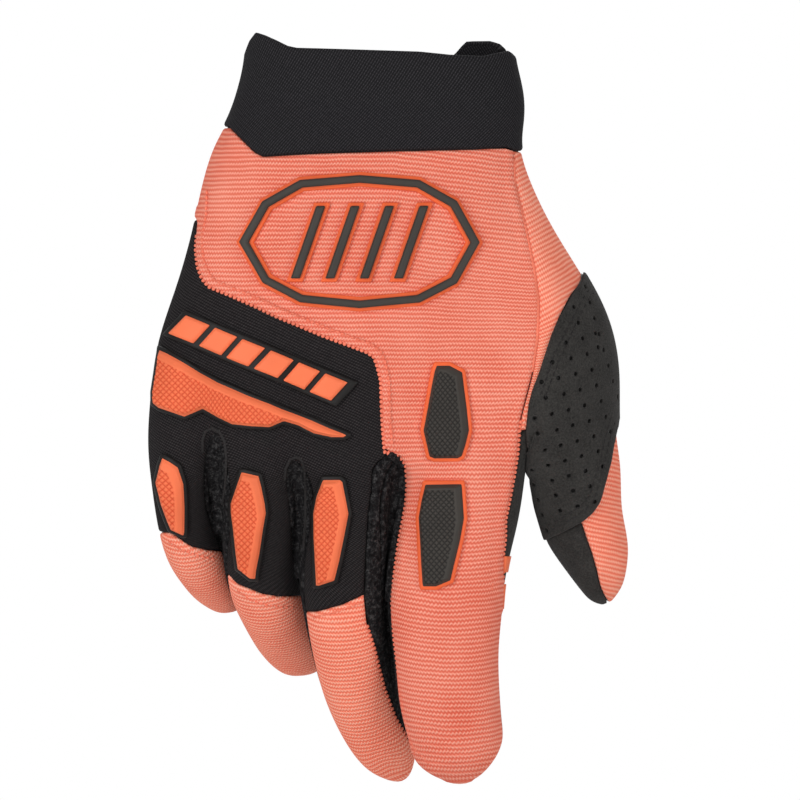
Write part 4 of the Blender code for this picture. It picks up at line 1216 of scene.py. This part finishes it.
def guard(name, cover, outline, pad_look, rim_look):
    """A moulded guard: a flat border, and a bevelled pad with diamond knurling."""
    def rim_height(points):
        edge = within(points, outline)
        return RIM_TOP - RIM_DROP * (1 - smooth(edge / RIM_ROUND))

    def pad_edge(points):
        ahead = points.copy()
        ahead[:, 0] += BEVEL_SHIFT
        ahead[:, 2] += BEVEL_SHIFT * 0.6
        return np.minimum(within(points, outline), within(ahead, outline)) - RIM_WIDTH

    def pad_height(points):
        edge = pad_edge(points)
        slope = PAD_SKIRT + 0.65 * smooth((edge + BEVEL_SHIFT) / (BEVEL + BEVEL_SHIFT))
        side = smooth((within(points, outline) - RIM_WIDTH) / 1.1)
        body = RIM_TOP + (PAD_TOP - RIM_TOP) * np.minimum(slope, side)
        return body - smooth((edge - BEVEL) / FIELD_STEP) * (FIELD_DROP + KNURL_DEPTH * knurl(points))

    # A mark for painted shade: a little over the whole sunken knurled field, and most in its grooves
    def pad_groove_shade(points):
        edge = pad_edge(points)
        return smooth((edge - BEVEL) / FIELD_STEP) * (0.06 + 0.94 * knurl(points))

    relief(name + "_rim", cover, grown(outline, 0), outline_box(outline), BORDER_STEP,
           rim_height, CLOTH_FOOT, rim_look, (name + "_rim",))
    relief(name, cover, grown(outline, -RIM_WIDTH), outline_box(outline), PAD_STEP,
           pad_height, BORDER_FOOT, pad_look, (name,), pad_groove_shade)


def bar_profile(outline, top, base, bevel=0.5):
    """Height of a plain raised bar with rounded edges."""
    def height(points):
        return base + (top - base) * (BAR_SKIRT + 0.45 * smooth(within(points, outline) / bevel))
    return height


def slanted(middle_u, middle_v, half, reach, lean):
    """Corners of a leaning bar, in picture units."""
    shift = lean * reach
    return [(middle_u - half + shift, middle_v - reach), (middle_u + half + shift, middle_v - reach),
            (middle_u + half - shift, middle_v + reach), (middle_u - half - shift, middle_v + reach)]


def spaced(route, pitch):
    """Places along a route, a pitch apart in picture units, with the direction at each."""
    at = np.array(route, float)
    steps = np.hypot(*np.diff(at, axis=0).T)
    way = np.concatenate([[0], np.cumsum(steps)])
    marks = np.arange(pitch / 2, way[-1], pitch)
    u, v = np.interp(marks, way, at[:, 0]), np.interp(marks, way, at[:, 1])
    ahead = np.stack([np.interp(marks + 0.5, way, at[:, 0]) - u,
                      np.interp(marks + 0.5, way, at[:, 1]) - v], axis=1)
    return np.stack([u, v], axis=1), ahead


def lens(foot, up, way, length, width, rise):
    """Points of one stitch: five rings of six from end to end, and its faces."""
    side = np.cross(up, way)
    at = []
    for k in range(5):
        part = k / 2 - 1
        swell = (math.sqrt(max(0, 1 - part * part)) + 0.12) * width / 2
        for turn in range(6):
            c, s = math.cos(turn * math.pi / 3), math.sin(turn * math.pi / 3)
            at.append(foot + way * part * length / 2 + side * c * swell + up * (rise + s * swell))
    faces = [(a + turn, a + (turn + 1) % 6, a + 6 + (turn + 1) % 6, a + 6 + turn)
             for a in range(0, 24, 6) for turn in range(6)]
    return at, faces + [(5, 4, 3, 2, 1, 0), (24, 25, 26, 27, 28, 29)]


def stitches(name, cover, routes, look, pitch, length, width, rise, skew=0.0):
    """Rows of thread stitches, each a small lens lying on the cloth, turned from its row."""
    at, faces = [], []
    for route in routes:
        places, ahead = spaced(route, pitch / UNIT)
        feet, normal = cover.under(flat_rows(places)[:, :3])
        tips, _ = cover.under(flat_rows(places + ahead)[:, :3])
        for foot, up, tip in zip(feet, normal, tips):
            way = tip - foot
            size = np.linalg.norm(way)
            if size < 1e-6:
                continue
            way /= size
            way = way * math.cos(skew) + np.cross(up, way) * math.sin(skew)
            own_at, own_faces = lens(foot, up, way, length, width, rise)
            faces += [tuple(len(at) + k for k in face) for face in own_faces]
            at += own_at
    return add_piece(name, np.array(at), faces, look, ())


# The whole glove

VALLEYS = (
    ("little", "ring", (
        (430, 211, 218, 0.4), (440, 205, 225, 1.2), (455, 205, 227, 2.4), (475, 206, 228, 3.2),
        (495, 209, 228, 3.6), (515, 211, 227, 3.8), (535, 212, 229, 4.0))),
    ("ring", "middle", (
        (459, 291, 299, 0.4), (469, 286, 305, 1.2), (485, 286, 307, 2.4), (505, 289, 308, 3.2),
        (530, 290, 306, 3.6), (555, 291, 305, 3.8), (580, 291, 304, 4.0))),
    ("middle", "index", (
        (457, 390, 399, 0.4), (468, 384, 404, 1.4), (485, 383, 406, 2.6), (505, 383, 404, 3.6),
        (530, 383, 400, 4.2), (560, 383, 397, 4.6), (600, 382, 393, 5.0))),
)
# Where the middle finger's coral and black cloth ends beside the index: v, u
MIDDLE_SIDE = (
    (440, 402), (455, 388), (462, 379), (470, 373), (485, 373), (515, 369), (551, 367),
    (595, 365), (625, 368), (650, 376), (690, 386), (720, 397), (742, 410), (765, 430),
    (800, 440),
)
HEM_WIDTH = 2.3
HEM_RISE = 0.3


def valley(name, cover, rows, look):
    """The hollow strip of fuzzy mesh between two fingers, laid from one to the other."""
    across = 9
    table = [[row[k] for row in rows] for k in range(4)]
    vs = np.arange(rows[0][0], rows[-1][0] + 1, 3.0)
    left, right, dip = (np.interp(vs, table[0], column) for column in table[1:])
    ends = []
    for us in (left, right):
        feet, normal = cover.under(flat_rows(np.stack([us, vs], axis=1))[:, :3])
        ends.append(feet - normal * 0.5)
    at = []
    for k in range(len(vs)):
        for s in np.linspace(0, 1, across):
            middle = ends[0][k] * (1 - s) + ends[1][k] * s
            at.append(middle + np.array((0, dip[k] * math.sin(math.pi * s), 0)))
    piece = add_piece(name, np.array(at), grid_quads(len(vs), across), look, ())
    return add_wall(piece, KNIT_WALL)


def middle_side(points):
    """Above zero on the middle finger's part beside the index."""
    u, v = picture(points)
    edge = np.interp(v, [row[0] for row in MIDDLE_SIDE], [row[1] for row in MIDDLE_SIDE])
    return (u - edge) * UNIT


def coral_field(points):
    """The back's field, widened at the index finger's root beside the middle finger."""
    v = picture(points)[1]
    wide = smooth((v - 454) / 8) * smooth((575 - v) / 40)
    return back_field(points) + np.where((points[:, LIMB] > 3.5) & (points[:, 6] < 0), 7 * wide, 0)


def hem(points):
    """The folded edge of the coral cloth, a little proud beside the black."""
    edge = within(points, CORAL)
    return HEM_RISE * (1 - smooth((edge - HEM_WIDTH) / 0.5))


def build_cuff(hand, looks):
    """The sleeve at the wrist, and the end of its closing tab."""
    cuff = trim(hand, lambda p: above_line(p, CUFF_SEAM))
    cuff = trim(cuff, lambda p: -above_line(p, CUFF_RIM), 0)
    panel("cuff", cuff, looks["twill"], ("cuff",), NEOPRENE_WALL, CUFF_PROUD)
    tab = trim(hand, lambda p: within(p, CUFF_TAB))
    tab = trim(tab, lambda p: (p[:, 3] - TAB_TURN) * TURN_LENGTH)
    panel("cuff_tab", tab, looks["twill"], ("cuff_tab",), TAB_WALL,
          CUFF_PROUD + LAYER_GAP + TAB_WALL)


def build_back(below, looks):
    """The coral back panel, the black one over the knuckles, and the coral fingertips."""
    back = trim(below.keep_limbs((0, 4)), coral_field)
    back = trim(back, lambda p: within(p, CORAL), rows=HEM_ROWS)
    panel("back_panel", back, looks["coral"], ("back_panel",), KNIT_WALL, hem=hem)
    knuckles = trim(below.keep_limbs((0, 1, 2, 3)), back_field)
    knuckles = trim(knuckles, lambda p: within(p, KNUCKLES))
    for number, edge in enumerate(TIP_EDGES, start=1):
        knuckles = trim(knuckles, lambda p: np.where(
            np.round(p[:, LIMB]) == number, above_line(p, edge), CLEAR))
        tip = trim(below.keep_limbs((number,)), back_field)
        tip = trim(tip, lambda p: -above_line(p, edge))
        if number == 3:
            tip = trim(tip, lambda p: -middle_side(p))
        name = FINGERS[number - 1] + "_tip"
        # The fingertips use the lighter coral copy, whose extra lightness is painted light
        panel(name, tip, looks["painted_light_coral"], (name,), KNIT_WALL, way=finger_way)
    knuckles = trim(knuckles, lambda p: np.where(
        np.round(p[:, LIMB]) == 3, -middle_side(p), CLEAR))
    side = trim(below.keep_limbs((3,)), back_field)
    side = trim(side, middle_side, 0)
    panel("middle_side", side, looks["fleece"], (), KNIT_WALL)
    panel("knuckle_panel", knuckles, looks["knit"], ("knuckle_panel",), KNIT_WALL)


def build_fourchettes(below, looks):
    """The strips between the fingers."""
    for number in (1, 2, 3):
        pair = trim(below.keep_limbs((number, number + 1)), lambda p: -coral_field(p))
        pair = trim(pair, web_field)
        web = [piece for piece in pair.pieces() if len(set(piece.limbs)) == 2][0]
        name = FINGERS[number - 1] + "_" + FINGERS[number] + "_fourchette"
        panel(name, web, looks["fleece"], (name,), KNIT_WALL)


def build_palm(whole, below, looks):
    """The suede palm, and a dark lining just inside all of the cloth."""
    palm = below.clip(palm_turn_field, SEAM_GAP, both=True).clip(palm_rule, SEAM_GAP, both=True)
    palm = palm.keep(palm_rule, SEAM_GAP)
    panel("palm", palm, looks["suede"], ("palm",), SUEDE_WALL)
    lining = whole.clip(lambda p: -2 - above_line(p, CUFF_RIM))
    panel("lining", lining, looks["border"], (), LINING_WALL, -LINING_DEPTH, 0)


def build_thumb(below, looks):
    """The coral panel over the thumb."""
    thumb = trim(below.keep_limbs((0, 5)), thumb_side_field)
    thumb = trim(thumb, thumb_pad_field)
    thumb = trim(thumb, back_field)
    # The thumb uses the lighter coral copy, whose extra lightness is painted light
    panel("thumb_panel", thumb, looks["painted_light_coral"], ("thumb_panel",), KNIT_WALL,
          way=thumb_way)


# The patch's holes: a slanting grid of rows and columns, by the steps of u and v in pitches
HOLE_START = (585.7, 304)
HOLE_ROW, HOLE_COLUMN = (0.28, 0.95), (-0.97, 0.25)
HOLE_ROWS, HOLE_COLUMNS = range(-12, 16), range(-12, 12)
HOLE_CLEAR = 1.4
HOLE_FACETS = 12
HOLE_REACH = 4.0
HOLE_RADIUS = HOLE_SIZE * 0.46
# The line past which the patch turns away and has no holes: v, u
HOLE_RIGHT = (
    (268, 577), (300, 596), (322, 610), (339, 615), (371, 617), (417, 615), (442, 610),
    (485, 601), (512, 590),
)


def hole_places():
    """Where the patch's holes are in the picture."""
    pitch = HOLE_PITCH / UNIT
    places = np.array([
        (HOLE_START[0] + HOLE_ROW[0] * pitch * row + HOLE_COLUMN[0] * pitch * column,
         HOLE_START[1] + HOLE_ROW[1] * pitch * row + HOLE_COLUMN[1] * pitch * column)
        for row in HOLE_ROWS for column in HOLE_COLUMNS])
    clear = within(flat_rows(places), PATCH) > HOLE_CLEAR
    return places[clear & (places[:, 0] < ease(HOLE_RIGHT, places[:, 1]))]


def cut_holes(piece, cover):
    """Cuts the holes through the patch's wall."""
    feet, normal = cover.under(flat_rows(hole_places())[:, :3])
    radius = HOLE_RADIUS / 1000
    mesh = bmesh.new()
    for foot, up in zip(feet, normal):
        turn = Vector(up).to_track_quat("Z", "Y").to_matrix().to_4x4()
        turn.translation = Vector((foot + up * 0.9) / 1000)
        bmesh.ops.create_cone(mesh, cap_ends=True, segments=HOLE_FACETS, radius1=radius,
                              radius2=radius, depth=HOLE_REACH / 1000, matrix=turn)
    cutter = add_mesh("hole_cutter", mesh)
    change = piece.modifiers.new("holes", "BOOLEAN")
    change.operation = "DIFFERENCE"
    change.solver = "EXACT"
    change.object = cutter
    bpy.context.view_layer.update()
    cut_piece = piece.evaluated_get(bpy.context.evaluated_depsgraph_get())
    cut = bpy.data.meshes.new_from_object(cut_piece)
    piece.modifiers.clear()
    piece.data = cut
    bpy.data.objects.remove(cutter)


def build_patch(below, cover, looks):
    """The perforated patch over the thumb's root, on a dark lining."""
    patch = trim(below.keep_limbs((0, 5)), patch_turn_field, 0)
    patch = trim(patch, lambda p: within(p, PATCH), 0)
    panel("patch_lining", patch, looks["border"], (), PATCH_LINING_WALL, PATCH_LINING_PROUD,
          PATCH_LINING_SINK)
    piece = panel("thumb_patch", patch, looks["suede"], ("thumb_patch",), PATCH_WALL,
                  PATCH_PROUD, PATCH_SINK)
    cut_holes(piece, cover)


def build_guards(cover, looks):
    """The guards of the fingers and the knuckles; those of the index finger are black."""
    for name, rows in GUARDS:
        dark = name.startswith("index")
        pad, rim = ("black", "rim_orange") if dark else ("orange", "border")
        guard(name, cover, rows_outline(rows), looks[pad], looks[rim])
    guard("knuckle_guard", cover, rows_outline(KNUCKLE_GUARD, False), looks["orange"],
          looks["border"])


def badge_ring(low, high):
    """A field over a band inside the badge's outline."""
    def field(points):
        edge = within(points, BADGE)
        return np.minimum(edge - low, high - edge)
    return field


def build_badge(cover, looks):
    """The badge on the back: a band and four leaning bars, each on a border."""
    border = badge_ring(0, BADGE_BAND + 2 * RIM_WIDTH)
    band = badge_ring(RIM_WIDTH, RIM_WIDTH + BADGE_BAND)
    box = outline_box(BADGE)
    top = RIM_TOP + LAYER_GAP + BADGE_HEIGHT
    relief("badge_rim", cover, border, box, BORDER_STEP,
           lambda p: RIM_TOP - 0.3 * (1 - smooth(border(p) / 0.4)), CLOTH_FOOT,
           looks["rim_orange"], ("badge_rim",))
    relief("badge", cover, band, box, RAISED_STEP,
           lambda p: top - 0.5 * (1 - smooth(band(p) / 0.5)), BORDER_FOOT,
           looks["black"], ("badge",))
    for number in range(BADGE_BARS):
        middle = BADGE_MIDDLE_U + (number - (BADGE_BARS - 1) / 2) * BADGE_BAR_PITCH
        for extra, ending, low, high, foot, look in (
                (RIM_WIDTH, "_rim", RIM_TOP - 0.6, RIM_TOP, CLOTH_FOOT, "rim_orange"),
                (0, "", RIM_TOP, top, BORDER_FOOT, "black")):
            grow = extra / UNIT
            corners = slanted(middle, BADGE_MIDDLE_V, BADGE_BAR / 2 + grow,
                              BADGE_BAR_REACH + grow, BADGE_BAR_LEAN)
            name = f"badge_bar_{number + 1}{ending}"
            relief(name, cover, grown(corners, 0), outline_box(corners), RAISED_STEP,
                   bar_profile(corners, high, low), foot, looks[look], (name,))


def build_strip(cover, looks):
    """The row of raised blocks over the knuckles, on its border."""
    start, end = np.array(STRIP_START, float), np.array(STRIP_END, float)
    length = np.hypot(*(end - start))
    along = (end - start) / length
    aside = np.array((-along[1], along[0]))

    def corners_of(first, last, half):
        return [tuple(start + along * (way - STRIP_LEAN * side * half) + aside * side * half)
                for side, way in ((-1, first), (-1, last), (1, last), (1, first))]

    base = corners_of(-STRIP_MARGIN, length + STRIP_MARGIN, STRIP_HEIGHT / 2 + STRIP_MARGIN)
    relief("strip_base", cover, grown(base, 0), outline_box(base), 0.45,
           bar_profile(base, RIM_TOP, RIM_TOP - 0.6), CLOTH_FOOT, looks["border"],
           ("strip_base",))
    step = length / STRIP_BLOCKS
    top = RIM_TOP + LAYER_GAP + STRIP_RAISE
    for number in range(STRIP_BLOCKS):
        first = number * step + 2
        block = corners_of(first, first + step - STRIP_BREAK, STRIP_HEIGHT / 2)
        name = f"strip_block_{number + 1}"
        relief(name, cover, grown(block, 0), outline_box(block), RAISED_STEP,
               bar_profile(block, top, RIM_TOP, 0.7), BORDER_FOOT, looks["orange"], (name,))


# Routes of stitches, edges and hems in the picture

CORAL_HEM = (
    (208, 190), (207, 217), (203, 235), (203, 248), (205, 262), (210, 274), (216, 281),
    (235, 289), (260, 299), (281, 309), (303, 318), (329, 329), (354, 338), (371, 344),
    (381, 352), (385, 361), (389, 381), (390, 412), (391, 431), (392, 447),
)
BACK_SEAM = (
    (512, 160), (512, 181), (516, 199), (522, 225), (527, 249), (531, 270), (535, 300),
    (535, 314), (534, 340), (529, 372),
)
# The coral cloth's looped edges, beside the black cloth and beside the suede
CORAL_EDGE = BORDER[3:] + INDEX_LEFT[:1:-1] + (
    (391, 603), (393, 640), (398, 680), (405, 720), (415, 755),
)
CORAL_RIGHT_EDGE = ((521, 420), (519, 431)) + INDEX_RIGHT[:8]
MIDDLE_EDGE = tuple((u - 1, v) for v, u in MIDDLE_SIDE if 600 < v < 800)
TIP_HEMS = (
    ((312, 618), (322, 615), (338, 611), (350, 606), (362, 602)),
    ((237, 590), (250, 600), (265, 605), (280, 607), (296, 608)),
    ((168, 541), (180, 549), (195, 555), (208, 558), (218, 560)),
)
PATCH_LINE = (
    (586, 290), (577, 303), (567, 322), (559, 341), (552, 361), (546, 378), (540, 394),
)
PATCH_LOWER = (
    (611, 420), (605, 442), (602, 460), (596, 483), (592, 498), (585, 507), (577, 514),
    (561, 524), (549, 531),
)
POCKET_HEMS = (
    ((203, 452), (203, 440), (206, 431), (213, 428), (220, 432), (225, 441), (227, 458),
     (226, 484), (222, 508)),
    ((285, 480), (286, 468), (290, 460), (296, 457), (302, 460), (305, 469), (306, 490),
     (306, 520), (304, 550)),
)
# The fuzzy roll on the left of the index finger's coral edge
INDEX_LIP = tuple((u - 4, v) for u, v in CORAL_EDGE if 454 <= v <= 680)
# The grip bars on the index finger's side: upper and lower v, and a u where the suede shows
GRIPS = ((556, 572), (584, 609))
GRIP_U = 502.0
GRIP_CELLS = 8
GRIP_CELL = 0.9
GRIP_START = 0.8
GRIP_TOP, GRIP_LOW = 0.5, 0.3


def grip_bars(cover, look):
    """Two bars moulded on the suede at the index finger's side."""
    at, faces = [], []
    wide = GRIP_CELLS + 1
    for top, bottom in GRIPS:
        places = []
        for v in np.linspace(top, bottom, wide):
            foot, _ = cover.under(flat_rows(np.array([[GRIP_U, v]]))[:, :3])
            places += [(0, foot[0][1] + GRIP_START + GRIP_CELL * k, (TOP_V - v) * UNIT)
                       for k in range(wide)]
        feet, normal = cover.under(places, (-1, 0, 0))
        first = len(at)
        at += list(feet + normal * GRIP_TOP)
        quads = [tuple(first + k for k in quad) for quad in grid_quads(wide, wide)]
        low = len(at)
        at += list(feet - normal * GRIP_LOW)
        faces += quads
        faces += [(b, a, a - first + low, b - first + low) for a, b in rim_edges(quads)]
    return add_piece("grip_bars", np.array(at), faces, look, ())


def shifted(route, by_u, by_v):
    """A route moved in the picture."""
    return [(u + by_u, v + by_v) for u, v in route]


def build_threads(cover, looks):
    """Rows of stitches, looped edges, rolls and hems. After the routes and the look stand the
    pitch, and each stitch's length, width and rise."""
    coral, black = looks["coral_thread"], looks["black_thread"]
    stitches("hem_stitches", cover, (CORAL_HEM,), coral, 1.55, 1.3, 0.75, 0.3)
    stitches("tip_stitches", cover, TIP_HEMS, coral, 1.5, 1.25, 0.6, 0.1)
    stitches("coral_edge", cover, (CORAL_EDGE, CORAL_RIGHT_EDGE, MIDDLE_EDGE), coral,
             RIB_PITCH, 1.5, 1.15, -0.45, math.pi / 2)
    stitches("pocket_hems", cover, POCKET_HEMS, black, 0.9, 1.6, 0.9, 0.0)
    stitches("index_lip", cover, (INDEX_LIP,), looks["fleece"], 1.0, 2.4, 2.6, -0.5)
    grip_bars(cover, looks["orange"])
    stitches("back_seam", cover, (shifted(BACK_SEAM, 2.5, 0),), coral, 1.0, 1.8, 1.1, -0.45)
    stitches("seam_stitches", cover, (BACK_SEAM, shifted(BACK_SEAM, -5, 1)), coral,
             1.4, 1.2, 0.4, 0.05)
    patch_lines = (PATCH_LINE, shifted(PATCH_LINE, 5, 2),
                   PATCH_LOWER, shifted(PATCH_LOWER, -4, -4))
    stitches("patch_stitches", cover, patch_lines, black, 2.1, 1.7, 0.36, PATCH_PROUD + 0.02)


FLOOR_COLOUR = (0.86, 0.86, 0.86)
FLOOR_RADIUS, FLOOR_DROP = 0.8, 0.03
AMBIENT = 0.53
# Lamps: name, place in metres, width, power
LAMPS = (
    ("key", (-0.4, -0.85, 0.3), 0.5, 2.2), ("fill", (0.4, -0.5, -0.1), 0.25, 0.9),
    ("low", (-0.35, -0.5, -0.12), 0.25, 1.0), ("back", (0.1, 0.8, 0.5), 0.8, 4.0),
)
LAMP_AIM = (0, 0, -0.1)
PICTURE_SIZE = 800
LENS, SENSOR = 600, 36


def build_floor():
    """A pale round floor below the glove."""
    mesh = bmesh.new()
    bmesh.ops.create_circle(mesh, cap_ends=True, segments=96, radius=FLOOR_RADIUS)
    floor = add_mesh("floor", mesh)
    floor.location = (0, 0, cad_box[0][2] - FLOOR_DROP)
    n = Nodes("pale_floor")
    floor.data.materials.append(n.finish((*FLOOR_COLOUR, 1), 0.9, 0.5))


def build_world():
    """Soft light from everywhere, and pure white where the camera sees past the floor."""
    world = bpy.data.worlds.new("studio")
    world.use_nodes = True
    tree = world.node_tree
    ambient = tree.nodes["Background"]
    ambient.inputs["Color"].default_value = (1, 1, 1, 1)
    ambient.inputs["Strength"].default_value = AMBIENT
    white = tree.nodes.new("ShaderNodeBackground")
    white.inputs["Color"].default_value = (1, 1, 1, 1)
    choice = tree.nodes.new("ShaderNodeMixShader")
    ray = tree.nodes.new("ShaderNodeLightPath")
    tree.links.new(ray.outputs["Is Camera Ray"], choice.inputs[0])
    tree.links.new(ambient.outputs[0], choice.inputs[1])
    tree.links.new(white.outputs[0], choice.inputs[2])
    tree.links.new(choice.outputs[0], tree.nodes["World Output"].inputs[0])
    bpy.context.scene.world = world


def build_lamps():
    """Round lamps that face the glove."""
    for name, position, size, power in LAMPS:
        light = bpy.data.lights.new(name, "AREA")
        light.shape = "DISK"
        light.size = size
        light.energy = power
        lamp = bpy.data.objects.new(name, light)
        lamp.location = position
        way = Vector(LAMP_AIM) - Vector(position)
        lamp.rotation_euler = way.to_track_quat("-Z", "Y").to_euler()
        bpy.context.scene.collection.objects.link(lamp)


def build_camera():
    """The photo's camera, level and far away, so that outlines keep their places."""
    scene = bpy.context.scene
    camera = bpy.data.cameras.new("camera")
    camera.lens = LENS
    camera.sensor_width = SENSOR
    eye = bpy.data.objects.new("camera", camera)
    distance = PICTURE_SIZE * UNIT / 1000 * LENS / SENSOR
    middle = PICTURE_SIZE / 2
    eye.location = ((middle - MID_U) * UNIT / 1000, -distance, (TOP_V - middle) * UNIT / 1000)
    eye.rotation_euler = (math.pi / 2, 0, 0)
    scene.collection.objects.link(eye)
    scene.camera = eye
    scene.view_settings.view_transform = "Standard"


def main():
    points, faces, limbs = build_form(ROUNDS)
    whole = Sheet(points, faces, limbs)
    cover = Cover(points, faces)
    looks = build_materials()
    build_cuff(whole.keep_limbs((0,)), looks)
    below = trim(whole, lambda p: -above_line(p, CUFF_SEAM))
    build_back(below, looks)
    build_fourchettes(below, looks)
    build_palm(whole, below, looks)
    build_thumb(below, looks)
    build_patch(below, cover, looks)
    for one, other, rows in VALLEYS:
        valley(f"{one}_{other}_valley", cover, rows, looks["fleece"])
    build_guards(cover, looks)
    build_badge(cover, looks)
    build_strip(cover, looks)
    build_threads(cover, looks)
    build_floor()
    build_world()
    build_lamps()
    build_camera()


main()
